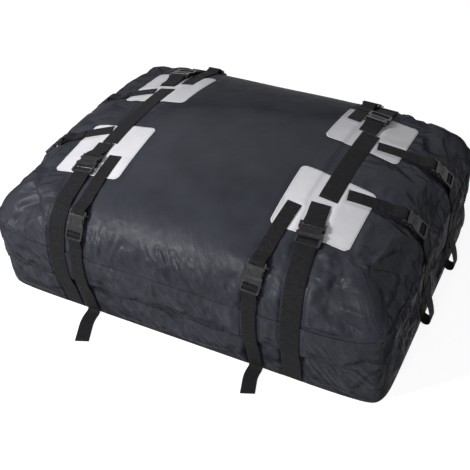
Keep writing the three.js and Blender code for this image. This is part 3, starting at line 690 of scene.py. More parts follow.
class Wiring:
    """Adds nodes to a tree and links them, one short call for each."""

    def __init__(self, tree: bpy.types.NodeTree) -> None:
        """Takes the tree to wire."""
        self.tree = tree

    def node(self, kind: str, **settings: object) -> bpy.types.Node:
        """Adds a node and sets its own properties."""
        made = self.tree.nodes.new(kind)
        for label, value in settings.items():
            setattr(made, label, value)
        return made

    def feed(self, target: bpy.types.NodeSocket, value: object) -> None:
        """Links a socket to another, or sets its value."""
        if isinstance(value, bpy.types.NodeSocket):
            self.tree.links.new(value, target)
        else:
            target.default_value = value

    def math(self, operation: str, first: object, second: object = 0.0, third: object = 0.0) -> object:
        """Adds a Math node and gives its result."""
        made = self.node("ShaderNodeMath", operation=operation)
        for socket, value in zip(made.inputs, (first, second, third)):
            self.feed(socket, value)
        return made.outputs[0]

    def texture(
        self, kind: str, vector: object, scale: object, detail: float, rough: float
    ) -> bpy.types.Node:
        """Adds a noise or cell texture."""
        made = self.node(kind)
        for label, value in zip(("Vector", "Scale", "Detail", "Roughness"), (vector, scale, detail, rough)):
            self.feed(made.inputs[label], value)
        return made

    def noise(self, vector: object, scale: object, detail: float = 3.0, rough: float = 0.5) -> object:
        """Adds a noise texture and gives its value."""
        return self.texture("ShaderNodeTexNoise", vector, scale, detail, rough).outputs["Fac"]

    def bent(self, place: object, scale: float, amount: float) -> object:
        """Bends coordinates with a noise, so that what is drawn on them wavers."""
        bend = self.texture("ShaderNodeTexNoise", place, scale, 2.0, 0.5)
        made = self.node("ShaderNodeVectorMath", operation="MULTIPLY_ADD")
        for socket, value in zip(made.inputs, (bend.outputs["Color"], (amount, amount, amount), place)):
            self.feed(socket, value)
        return made.outputs[0]

    def group(self, tree: bpy.types.NodeTree, **values: object) -> bpy.types.Node:
        """Adds a node group and feeds its inputs."""
        made = self.node("ShaderNodeGroup", node_tree=tree)
        for label, value in values.items():
            self.feed(made.inputs[label], value)
        return made

    def seen(self) -> object:
        """Gives 1 to the rays that show a thing: from the camera, off gloss or through glass."""
        path = self.node("ShaderNodeLightPath")
        seen = self.math("MAXIMUM", path.outputs["Is Camera Ray"], path.outputs["Is Glossy Ray"])
        return self.math("MAXIMUM", seen, path.outputs["Is Transmission Ray"])

    def spread(self, value: object, low: float, high: float, to_low: float, to_high: float) -> object:
        """Maps a value from one range to another, clamped."""
        made = self.node("ShaderNodeMapRange", clamp=True)
        for label, number in zip(("From Min", "From Max", "To Min", "To Max"), (low, high, to_low, to_high)):
            made.inputs[label].default_value = number
        self.feed(made.inputs["Value"], value)
        return made.outputs["Result"]

    def blend(self, share: object, first: object, second: object, mode: str = "MIX") -> object:
        """Mixes two colours."""
        made = self.node("ShaderNodeMix", data_type="RGBA", blend_type=mode)
        self.feed(made.inputs[0], share)
        self.feed(made.inputs[6], first)
        self.feed(made.inputs[7], second)
        return made.outputs[2]


def cloth_grain_group() -> bpy.types.NodeTree:
    """Builds the group for plain coated cloth: soft mottling, fine grain, and creases where it is slack."""
    maker = GroupMaker(
        "cloth_grain",
        {"Vector": (0.0, 0.0, 0.0), "Slack": 0.0, "Grain": 900.0, "Mottle": 14.0, "Crease": 60.0},
        {"Mottle": "NodeSocketFloat", "Height": "NodeSocketFloat", "Gloss": "NodeSocketFloat"},
    )
    w = Wiring(maker.tree)
    given, wanted = maker.source.outputs, maker.sink.inputs
    place, slack = given["Vector"], given["Slack"]
    crease = w.texture("ShaderNodeTexVoronoi", w.bent(place, 9.0, 0.09), given["Crease"], 2.0, 0.4)
    creased = w.math("MULTIPLY", crease.outputs["Distance"], w.math("MULTIPLY_ADD", slack, 8.0, 0.8))
    height = w.math("MULTIPLY_ADD", w.noise(place, given["Grain"], 2.0), 0.16, creased)
    w.feed(wanted["Height"], w.math("ADD", height, drawn_ripples(w, place, slack)))
    w.feed(wanted["Mottle"], w.noise(place, given["Mottle"], 5.0, 0.55))
    w.feed(wanted["Gloss"], w.noise(place, 35.0, 4.0, 0.6))
    return maker.tree


def drawn_ripples(w: Wiring, place: object, slack: object) -> object:
    """Adds long thin ripples that lean across the walls, in patches, where the cloth is slack.

    Args:
        w: The group's wiring.
        place: The cloth's own coordinates.
        slack: How slack the cloth is, from 0 to 1.

    Returns:
        The ripples' height.
    """
    parts = w.node("ShaderNodeSeparateXYZ")
    w.feed(parts.inputs[0], w.bent(place, 5.0, 0.045))
    lean = w.math("MULTIPLY_ADD", parts.outputs[2], 0.75, parts.outputs[0])
    lean = w.math("MULTIPLY_ADD", parts.outputs[1], 0.35, lean)
    joined = w.node("ShaderNodeCombineXYZ")
    w.feed(joined.inputs[0], lean)
    w.feed(joined.inputs[1], w.math("MULTIPLY", parts.outputs[1], 0.12))
    w.feed(joined.inputs[2], w.math("MULTIPLY", parts.outputs[2], 0.16))
    ripple = w.noise(joined.outputs[0], 62.0, 2.0, 0.45)
    patchy = w.spread(w.noise(place, 7.5, 2.0), 0.42, 0.62, 0.15, 1.0)
    return w.math("MULTIPLY", w.math("MULTIPLY", ripple, 9.0), w.math("MULTIPLY", patchy, slack))


def webbing_weave_group() -> bpy.types.NodeTree:
    """Builds the group for webbing: cross ribs and long yarns with a fine crumple, on the strap's own map."""
    maker = GroupMaker(
        "webbing_weave",
        {"Vector": (0.0, 0.0, 0.0), "Rib": 0.0016, "Yarn": 0.0011},
        {"Tone": "NodeSocketFloat", "Height": "NodeSocketFloat"},
    )
    w = Wiring(maker.tree)
    parts = w.node("ShaderNodeSeparateXYZ")
    w.feed(parts.inputs[0], maker.source.outputs["Vector"])
    across = w.math("DIVIDE", parts.outputs[0], maker.source.outputs["Yarn"])
    along = w.math("DIVIDE", parts.outputs[1], maker.source.outputs["Rib"])
    yarn = w.math("PINGPONG", across, 0.5)
    column = w.math("FLOOR", across)
    shifted = w.math("MULTIPLY_ADD", w.math("MODULO", column, 2.0), 0.5, along)
    rib = w.math("SINE", w.math("MULTIPLY", shifted, math.tau))
    height = w.math("MULTIPLY_ADD", yarn, 1.2, w.math("MULTIPLY", rib, 0.35))
    drawn = w.node("ShaderNodeVectorMath", operation="MULTIPLY")
    w.feed(drawn.inputs[0], maker.source.outputs["Vector"])
    drawn.inputs[1].default_value = (0.22, 1.0, 1.0)
    crumple = w.noise(drawn.outputs[0], 85.0, 3.0, 0.55)
    height = w.math("MULTIPLY_ADD", crumple, 9.0, height)
    tone = w.noise(maker.source.outputs["Vector"], 90.0, 4.0, 0.6)
    w.feed(maker.sink.inputs["Tone"], w.math("MULTIPLY_ADD", rib, 0.06, tone))
    w.feed(maker.sink.inputs["Height"], height)
    return maker.tree


def scuff_group() -> bpy.types.NodeTree:
    """Builds the group for handled hard parts: fine grain, faint smears and paler worn edges."""
    maker = GroupMaker(
        "scuff",
        {"Vector": (0.0, 0.0, 0.0), "Grain": 900.0, "Wear": 0.5},
        {"Edge": "NodeSocketFloat", "Grain": "NodeSocketFloat", "Smear": "NodeSocketFloat"},
    )
    w = Wiring(maker.tree)
    place = maker.source.outputs["Vector"]
    shape = w.node("ShaderNodeNewGeometry")
    edge = w.spread(shape.outputs["Pointiness"], 0.52, 0.60, 0.0, 1.0)
    patchy = w.spread(w.noise(place, 160.0, 3.0), 0.35, 0.65, 0.3, 1.0)
    worn = w.math("MULTIPLY", edge, patchy)
    w.feed(maker.sink.inputs["Edge"], w.math("MULTIPLY", worn, maker.source.outputs["Wear"]))
    w.feed(maker.sink.inputs["Grain"], w.noise(place, maker.source.outputs["Grain"], 2.0))
    w.feed(maker.sink.inputs["Smear"], w.noise(place, 60.0, 4.0, 0.65))
    return maker.tree


@dataclass(frozen=True)
class Finish:
    """One finish: the record's slot that it belongs to, its colour and how it takes the light."""

    name: str
    slot: str
    colour: tuple[float, float, float]
    roughness: float
    sheen: float = 0.0
    metallic: float = 0.0
    coat: float = 0.0
    bump: float = 0.3
    specular: float = 0.5

    def start(self) -> tuple[bpy.types.Material, Wiring, bpy.types.Node]:
        """Makes the material with its shader set to the finish's constants."""
        material = bpy.data.materials.new(self.name)
        material.use_nodes = True
        material.diffuse_color = (*self.colour, 1.0)
        shader = material.node_tree.nodes["Principled BSDF"]
        shader.inputs["Base Color"].default_value = (*self.colour, 1.0)
        shader.inputs["Roughness"].default_value = self.roughness
        shader.inputs["Metallic"].default_value = self.metallic
        shader.inputs["Specular IOR Level"].default_value = self.specular
        shader.inputs["Sheen Weight"].default_value = self.sheen
        shader.inputs["Sheen Roughness"].default_value = 0.45
        shader.inputs["Coat Weight"].default_value = self.coat
        return material, Wiring(material.node_tree), shader

    def bumped(self, w: Wiring, shader: bpy.types.Node, height: object, distance: float) -> None:
        """Feeds a height to the shader's normal."""
        bump = w.node("ShaderNodeBump")
        bump.inputs["Strength"].default_value = self.bump
        bump.inputs["Distance"].default_value = distance
        w.feed(bump.inputs["Height"], height)
        w.feed(shader.inputs["Normal"], bump.outputs["Normal"])

    def tinted(self, share: float) -> tuple[float, float, float, float]:
        """Gives the finish's colour, lighter or darker by a share."""
        return (*(min(1.0, part * share) for part in self.colour), 1.0)


@dataclass(frozen=True)
class ClothFinish(Finish):
    """Coated woven cloth, mottled and softly creased."""

    grain: float = 1300.0
    mottle: float = 9.0
    crease: float = 11.0
    contrast: float = 0.22
    glancing = (0.34, 0.58)
    glancing_share = 0.06
    crease_depth = 1 * MM

    def build(self, grain: bpy.types.NodeTree) -> bpy.types.Material:
        """Builds the material on the object's own coordinates."""
        material, w, shader = self.start()
        place = w.node("ShaderNodeTexCoord").outputs["Object"]
        slack = w.node("ShaderNodeAttribute", attribute_name="slack").outputs["Fac"]
        group = w.group(
            grain, Vector=place, Slack=slack, Grain=self.grain, Mottle=self.mottle, Crease=self.crease
        )
        tone = w.spread(group.outputs["Mottle"], 0.3, 0.7, 0.0, 1.0)
        colour = w.blend(tone, self.tinted(1 - self.contrast), self.tinted(1 + self.contrast))
        w.feed(shader.inputs["Base Color"], colour)
        low, high = self.roughness - 0.06, self.roughness + 0.08
        w.feed(shader.inputs["Roughness"], w.spread(group.outputs["Gloss"], 0.3, 0.7, low, high))
        facing = w.node("ShaderNodeLayerWeight").outputs["Facing"]
        shine = w.spread(facing, *self.glancing, self.specular, self.specular * self.glancing_share)
        w.feed(shader.inputs["Specular IOR Level"], shine)
        self.bumped(w, shader, group.outputs["Height"], self.crease_depth)
        return material


@dataclass(frozen=True)
class WebbingFinish(Finish):
    """Woven webbing, with its weave on the strap's own map."""

    def build(self, weave: bpy.types.NodeTree) -> bpy.types.Material:
        """Builds the material."""
        material, w, shader = self.start()
        group = w.group(weave, Vector=w.node("ShaderNodeUVMap", uv_map="strap").outputs["UV"])
        tone = w.spread(group.outputs["Tone"], 0.3, 0.75, 0.0, 1.0)
        w.feed(shader.inputs["Base Color"], w.blend(tone, self.tinted(0.75), self.tinted(1.45)))
        self.bumped(w, shader, group.outputs["Height"], 0.0004)
        return material


@dataclass(frozen=True)
class HardFinish(Finish):
    """A moulded or cast finish with fine grain and worn edges."""

    wear: float = 0.5
    worn: tuple[float, float, float] = (0.2, 0.2, 0.21)

    def build(self, scuff: bpy.types.NodeTree) -> bpy.types.Material:
        """Builds the material on the object's own coordinates."""
        material, w, shader = self.start()
        place = w.node("ShaderNodeTexCoord").outputs["Object"]
        group = w.group(scuff, Vector=place, Wear=self.wear)
        smeared = w.blend(group.outputs["Smear"], self.tinted(0.95), self.tinted(1.08))
        w.feed(shader.inputs["Base Color"], w.blend(group.outputs["Edge"], smeared, (*self.worn, 1.0)))
        low, high = self.roughness - 0.02, self.roughness + 0.05
        w.feed(shader.inputs["Roughness"], w.spread(group.outputs["Smear"], 0.3, 0.7, low, high))
        self.bumped(w, shader, group.outputs["Grain"], 0.0001)
        return material


class Finishes:
    """Every finish of the bag, built once."""

    def __init__(self) -> None:
        """Builds the node groups and the materials."""
        grain, weave, scuff = cloth_grain_group(), webbing_weave_group(), scuff_group()
        shell = ClothFinish(
            "coated_bag_cloth", "bag_fabric", (0.030, 0.0318, 0.0415), 0.38, bump=1.0, specular=0.11
        )
        grip = ClothFinish(
            "pale_grip_cloth", "grip_patch", (0.69, 0.69, 0.72), 0.7, bump=0.2, mottle=30.0, contrast=0.035
        )
        self.cloth = shell.build(grain)
        self.grip = grip.build(grain)
        self.webbing = WebbingFinish(
            "black_webbing", "webbing", (0.0145, 0.0145, 0.016), 0.8, bump=0.8, specular=0.1
        ).build(weave)
        self.plastic = HardFinish(
            "buckle_acetal", "buckle_plastic", (0.010, 0.010, 0.0112), 0.27,
            bump=0.1, specular=0.22, worn=(0.10, 0.10, 0.11),
        ).build(scuff)
        self.thread = ClothFinish(
            "sewing_thread", "bag_fabric", (0.028, 0.029, 0.034), 0.6, grain=2500.0, contrast=0.1
        ).build(grain)
        self.tape = ClothFinish(
            "zip_tape_cloth", "zip_tape", (0.016, 0.016, 0.018), 0.8, contrast=0.1
        ).build(grain)
        self.metal = HardFinish(
            "zip_slider_metal", "zip_metal", (0.33, 0.33, 0.34), 0.32, metallic=1.0, worn=(0.6, 0.6, 0.6)
        ).build(scuff)


def read_places(mesh: bpy.types.Mesh) -> np.ndarray:
    """Reads a mesh's points, one a row."""
    flat = np.empty(3 * len(mesh.vertices), dtype=np.float32)
    mesh.vertices.foreach_get("co", flat)
    return flat.reshape(-1, 3).astype(float)


def write_places(mesh: bpy.types.Mesh, places: np.ndarray) -> None:
    """Moves a mesh's points."""
    mesh.vertices.foreach_set("co", np.asarray(places, np.float32).ravel())
    mesh.update()


def mesh_of(name: str, bm: bmesh.types.BMesh) -> bpy.types.Mesh:
    """Turns a bmesh into a mesh."""
    mesh = bpy.data.meshes.new(name)
    bm.to_mesh(mesh)
    bm.free()
    return mesh


def linked(name: str, data: bpy.types.ID) -> bpy.types.Object:
    """Puts a mesh, lamp or camera into the scene."""
    made = bpy.data.objects.new(name, data)
    bpy.context.scene.collection.objects.link(made)
    return made


def new_piece(name: str, bm: bmesh.types.BMesh, material: bpy.types.Material) -> bpy.types.Object:
    """Turns a bmesh into a smooth shaded piece with its material."""
    mesh = mesh_of(name, bm)
    mesh.polygons.foreach_set("use_smooth", [True] * len(mesh.polygons))
    mesh.materials.append(material)
    piece = linked(name, mesh)
    return piece


def baked(piece: bpy.types.Object) -> None:
    """Applies a piece's modifiers to its mesh."""
    graph = bpy.context.evaluated_depsgraph_get()
    done = bpy.data.meshes.new_from_object(piece.evaluated_get(graph), depsgraph=graph)
    old = piece.data
    piece.modifiers.clear()
    piece.data = done
    done.name = old.name
    bpy.data.meshes.remove(old)


def thicken(piece: bpy.types.Object, thickness: float, offset: float, rim_bevel: float = 0.0) -> None:
    """Gives a sheet its thickness, and rounds its edges where asked."""
    wall = piece.modifiers.new("wall", "SOLIDIFY")
    wall.thickness = thickness
    wall.offset = offset
    wall.use_even_offset = False
    if rim_bevel:
        soften(piece, rim_bevel, 2)


def soften(piece: bpy.types.Object, width: float, segments: int, angle: float = 40.0) -> None:
    """Rounds a piece's sharp edges."""
    edge = piece.modifiers.new("soft_edge", "BEVEL")
    edge.width = width
    edge.segments = segments
    edge.limit_method = "ANGLE"
    edge.angle_limit = math.radians(angle)
    edge.harden_normals = False


@dataclass(frozen=True)
class Fold:
    """One crease pressed into the cloth: where it runs, how wide it is and how far it stands out."""

    start: tuple[float, float, float]
    end: tuple[float, float, float]
    width: float
    rise: float

    def height(self, points: np.ndarray, outward: np.ndarray) -> np.ndarray:
        """Gives how far the crease lifts each point, with its distance measured along the cloth."""
        a, b = np.array(self.start), np.array(self.end)
        way = b - a
        share = np.clip((points - a) @ way / (way @ way), 0, 1)
        gap = points - (a + share[:, None] * way)
        deep = (gap * outward).sum(axis=1)
        away = np.linalg.norm(gap - deep[:, None] * outward, axis=1) + 9 * (np.abs(deep) > 40 * MM)
        taper = np.sin(math.pi * np.clip(share, 0.04, 0.96)) ** 0.6
        beside = (away / self.width) ** 2
        return self.rise * taper * (1.25 - 0.9 * beside) * np.exp(-beside)


@dataclass(frozen=True)
class Ridge:
    """A corner where two panels meet in a seam: a sharp edge that stands out from the round form."""

    route: tuple[tuple[float, float, float], ...]
    width: float
    rise: float

    def height(self, points: np.ndarray) -> np.ndarray:
        """Gives how far the corner lifts each point, for all four corners alike."""
        return self.rise * np.exp(-((self.away(points) / self.width) ** 1.3))

    def away(self, points: np.ndarray) -> np.ndarray:
        """Measures how far each point lies from the ridge of its own corner."""
        return distance_to_route(np.abs(points) * np.array([1, -1, 1]), self.route)


def distance_to_route(points: np.ndarray, route: tuple[tuple[float, float, float], ...]) -> np.ndarray:
    """Measures each point's distance to a line of straight stretches."""
    nearest = np.full(len(points), 9.0)
    for start, end in zip(route, route[1:]):
        a, way = np.array(start), np.array(end) - np.array(start)
        share = np.clip((points - a) @ way / (way @ way), 0, 1)
        nearest = np.minimum(nearest, np.linalg.norm(points - (a + share[:, None] * way), axis=1))
    return nearest


class Relief:
    """Everything that lifts the cloth off the bag's even form: bulges, puckers along seams and creases."""

    margin = 2 * MM
    swells = (2.6 * MM, 1.3 * MM)
    pucker = 1.7 * MM
    pucker_reach = 38 * MM

    def __init__(self, folds: tuple[Fold, ...], ridges: tuple[Ridge, ...]) -> None:
        """Takes the creases and corner ridges; the simulated cloth joins them once it has run."""
        self.folds = folds
        self.ridges = ridges
        self.puffed: Callable[[np.ndarray, np.ndarray], np.ndarray] | None = None

    def strap_mask(self, points: np.ndarray, reach: float) -> np.ndarray:
        """Gives 1 under the webbing and 0 away from it, fading over a reach."""
        mask = np.zeros(len(points))
        for route in ROUTES.values():
            edge = route.buckle.web / 2 + self.margin
            across, past = route.lane.nearness(points, route.sewn_at)
            mask = np.maximum(mask, past * (1 - ease(across, edge, edge + reach)))
        edge = WIDE_BUCKLE.web / 2 + self.margin
        inside = (points[:, 2] > FORM.widest) * (1 - ease(np.abs(points[:, 1]), 0.17, 0.19))
        for corner in CORNERS:
            across = np.abs(points[:, 0] - corner.end * corner.wide.at)
            mask = np.maximum(mask, inside * (1 - ease(across, edge, edge + reach)))
        return mask

    def patch_mask(self, points: np.ndarray) -> np.ndarray:
        """Gives 1 on a grip patch and 0 away from it."""
        near = 1 - ease(PATCHES.past_edge(points), 0.0, 14 * MM)
        return near * (points[:, 2] > FORM.widest)

    def swell(self, points: np.ndarray) -> np.ndarray:
        """Gives the broad, slow unevenness of a packed bag."""
        x, y, z = points.T
        slow = np.sin(5.1 * x + 2.3 * y + 0.4) * np.cos(4.3 * y - 3.1 * x + 3 * z)
        middle = np.sin(13.0 * x - 4.0 * y + 9.0 * z) * np.sin(11.0 * y + 5.0 * x + 1.3)
        return self.swells[0] * slow + self.swells[1] * middle

    def puckers(self, points: np.ndarray) -> np.ndarray:
        """Gives the small gathers that run away from the flap seam, up over the lid and down the flap."""
        x, y, z = points.T
        on_end = np.abs(x) / FORM.length > np.abs(y) / FORM.width
        round_bag = np.where(on_end, y * np.sign(x), -x * np.sign(y))
        drift = round_bag + 0.35 * (z - FLAP.top) * np.sin(2.7 * round_bag + 1.0)
        gather = np.sin(190 * drift + 2.2 * np.sin(21 * drift))
        gather = gather + 0.6 * np.sin(97 * drift + 1.7 * np.sin(13 * drift))
        patchy = 0.35 + 0.65 * np.clip(np.sin(6.3 * round_bag + 0.9) + 0.4 * np.sin(17 * round_bag), 0, 1)
        off_seam = np.abs(z - FLAP.top_edge(x, y))
        fade = np.exp(-off_seam / self.pucker_reach) * ease(off_seam, 0, 8 * MM)
        return self.pucker * gather * patchy * fade * (z < FORM.shoulder)

    def slack(self, points: np.ndarray) -> np.ndarray:
        """Gives how slack the cloth is: taut on the lid and under webbing, looser on walls and corners."""
        facing_up = outward_at(points)[:, 2]
        upright = (1 - np.clip(facing_up, 0, 1) ** 2) ** 1.5
        return upright * (1 - 0.6 * self.strap_mask(points, 10 * MM)) * (1 - self.patch_mask(points))

    def paint(self, piece: bpy.types.Object, points: np.ndarray) -> None:
        """Stores each point's slackness in the piece's mesh for its finish to read."""
        layer = piece.data.attributes.new("slack", "FLOAT", "POINT")
        layer.data.foreach_set("value", self.slack(points).astype(np.float32))

    def offset(self, points: np.ndarray) -> np.ndarray:
        """Gives the cloth's height over the even form at points on it."""
        total = self.swell(points) + self.puckers(points)
        outward = outward_at(points)
        if self.puffed is not None:
            total = total + self.puffed(points, outward)
        for fold in self.folds:
            total = total + fold.height(points, outward)
        ground = ease(points[:, 2], 0.004, 0.05)
        total = total * ground * (1 - 0.8 * self.patch_mask(points))
        held = self.strap_mask(points, 14 * MM)
        beside = np.clip(self.strap_mask(points, 45 * MM) - held, 0, 1)
        free = total * (1 - held) + np.minimum(total, 0) * 0.4 * held
        for ridge in self.ridges:
            sunk = np.minimum(free, 0) * (1 - ease(ridge.away(points), 6 * MM, 60 * MM))
            free = free - 0.85 * sunk + ridge.height(points) * (1 - held)
        return free - 0.6 * MM * held + 1.5 * MM * beside * ground


FRONT_RIPPLES = tuple(
    Fold(
        (-0.075 + 0.0185 * i, -0.418, 0.310), (-0.020 + 0.0205 * i, -0.437, 0.230),
        0.0075, (3.4 + 1.0 * (i % 3)) * MM,
    )
    for i in range(12)
)
HAND_FOLDS = FRONT_RIPPLES + (
    Fold((-0.214, -0.406, 0.321), (-0.220, -0.437, 0.230), 0.010, 3.0 * MM),
    Fold((-0.190, -0.398, 0.330), (-0.204, -0.437, 0.230), 0.008, 2.6 * MM),
    Fold((-0.159, -0.409, 0.319), (-0.182, -0.437, 0.232), 0.010, 2.8 * MM),
    Fold((-0.140, -0.418, 0.306), (-0.165, -0.437, 0.230), 0.008, 2.4 * MM),
    Fold((-0.510, -0.405, 0.282), (-0.370, -0.331, 0.355), 0.016, 5.0 * MM),
    Fold((-0.520, -0.385, 0.290), (-0.394, -0.306, 0.357), 0.012, 4.0 * MM),
    Fold((-0.505, -0.350, 0.318), (-0.411, -0.292, 0.357), 0.012, 3.6 * MM),
    Fold((-0.470, -0.410, 0.300), (-0.350, -0.362, 0.348), 0.012, -3.0 * MM),
    Fold((-0.462, -0.394, 0.317), (-0.499, -0.425, 0.239), 0.016, 4.0 * MM),
    Fold((-0.481, -0.426, 0.116), (-0.400, -0.430, 0.190), 0.018, 4.0 * MM),
    Fold((-0.210, -0.437, 0.214), (-0.075, -0.438, 0.190), 0.014, 4.0 * MM),
    Fold((-0.217, -0.435, 0.136), (-0.051, -0.438, 0.164), 0.016, 4.5 * MM),
    Fold((-0.324, -0.438, 0.207), (-0.248, -0.438, 0.181), 0.012, 3.0 * MM),
    Fold((-0.491, -0.424, 0.110), (-0.363, -0.423, 0.071), 0.016, 4.5 * MM),
    Fold((-0.438, -0.435, 0.205), (-0.345, -0.438, 0.180), 0.012, 3.0 * MM),
    Fold((0.456, -0.414, 0.300), (0.538, -0.384, 0.268), 0.013, 5.0 * MM),
    Fold((0.364, -0.436, 0.243), (0.483, -0.427, 0.253), 0.013, 5.0 * MM),
    Fold((0.420, -0.425, 0.275), (0.530, -0.405, 0.240), 0.012, -4.0 * MM),
    Fold((0.413, -0.280, 0.358), (0.465, -0.319, 0.340), 0.010, -4.0 * MM),
    Fold((0.465, -0.319, 0.340), (0.538, -0.245, 0.297), 0.012, 4.0 * MM),
    Fold((0.413, -0.262, 0.360), (0.490, -0.255, 0.338), 0.011, 3.4 * MM),
    Fold((0.339, -0.323, 0.360), (0.425, -0.312, 0.351), 0.012, 3.6 * MM),
    Fold((0.350, -0.345, 0.352), (0.440, -0.355, 0.335), 0.012, -3.0 * MM),
    Fold((0.266, -0.312, 0.370), (0.306, -0.363, 0.349), 0.012, 3.0 * MM),
    Fold((0.516, -0.362, 0.309), (0.564, -0.094, 0.120), 0.022, 4.0 * MM),
    Fold((0.517, -0.187, 0.322), (0.568, 0.004, 0.080), 0.022, -4.0 * MM),
    Fold((0.517, -0.298, 0.318), (0.566, 0.100, 0.080), 0.022, 4.0 * MM),
    Fold((0.394, 0.138, 0.377), (0.503, 0.206, 0.332), 0.014, 3.4 * MM),
    Fold((0.444, 0.028, 0.366), (0.559, 0.174, 0.200), 0.018, 4.0 * MM),
)
CORNER_RIDGES = (
    Ridge(((0.548, -0.391, 0.0), (0.545, -0.393, 0.139), (0.540, -0.391, 0.248)), 0.034, 9.0 * MM),
    Ridge(((0.540, -0.391, 0.248), (0.515, -0.373, 0.306), (0.461, -0.319, 0.342)), 0.026, 5.0 * MM),
)


class PuffedCloth:
    """The shell's cloth, cut a little large and blown out against its seams, straps and patches."""

    growth = 0.045
    pressure = 1.0
    bending = 0.12
    stretch = 40.0
    shear = 12.0
    frames = 16
    limit = 13 * MM
    seam_grip = 6 * MM

    def __init__(self, relief: Relief) -> None:
        """Takes the relief, which knows where the straps and patches lie."""
        self.relief = relief

    def held(self, points: np.ndarray, middle: np.ndarray) -> np.ndarray:
        """Gives how firmly each point is held, from 0, free, to 1, sewn down."""
        z = points[:, 2]
        hold = np.maximum(0.03, 0.3 * middle)
        hem = FLAP.top - FLAP.drop
        hold = np.maximum(hold, 0.5 * (np.abs(z - hem) < self.seam_grip))
        hold[np.abs(z - FLAP.top) < self.seam_grip] = 1.0
        hold[z < self.seam_grip] = 1.0
        hold[self.relief.strap_mask(points, 8 * MM) > 0.6] = 1.0
        hold[self.relief.patch_mask(points) > 0.9] = 1.0
        return hold

    def run(self, piece: bpy.types.Object) -> None:
        """Simulates the cloth on a piece and leaves its finished shape in the piece's mesh."""
        start = read_places(piece.data)
        x, y, z = start.T
        middle = (1 - ease(np.abs(x), 0.20, 0.42)) * (1 - ease(np.abs(y), 0.40, 0.45)) * (z > 0.24)
        groups = {"held": self.held(start, middle), "taut": middle}
        for name, weights in groups.items():
            group = piece.vertex_groups.new(name=name)
            for i, weight in enumerate(weights):
                group.add([i], float(weight), "REPLACE")
        cloth = piece.modifiers.new("cloth", "CLOTH")
        self.set_up(cloth)
        for number in range(1, self.frames + 1):
            bpy.context.scene.frame_set(number)
        baked(piece)
        bpy.context.scene.frame_set(1)
        moved = read_places(piece.data) - start
        far = np.linalg.norm(moved, axis=1, keepdims=True)
        write_places(piece.data, start + moved * np.minimum(1, self.limit / np.maximum(far, 1e-9)))
        piece.vertex_groups.clear()

    def set_up(self, cloth: bpy.types.Modifier) -> None:
        """Sets the cloth's weight, stiffness, air pressure and extra size."""
        settings = cloth.settings
        settings.quality = 6
        settings.mass = 0.15
        settings.tension_stiffness = settings.compression_stiffness = self.stretch
        settings.shear_stiffness = self.shear
        settings.bending_stiffness = self.bending
        settings.air_damping = 2
        settings.effector_weights.gravity = 0
        settings.use_pressure = True
        settings.uniform_pressure_force = self.pressure
        settings.vertex_group_mass = "held"
        settings.pin_stiffness = 5
        settings.shrink_min = -self.growth
        settings.shrink_max = 0.0
        settings.vertex_group_shrink = "taut"
        cloth.collision_settings.use_collision = False
        cloth.collision_settings.use_self_collision = False
        cloth.point_cache.frame_start = 1
        cloth.point_cache.frame_end = self.frames + 1


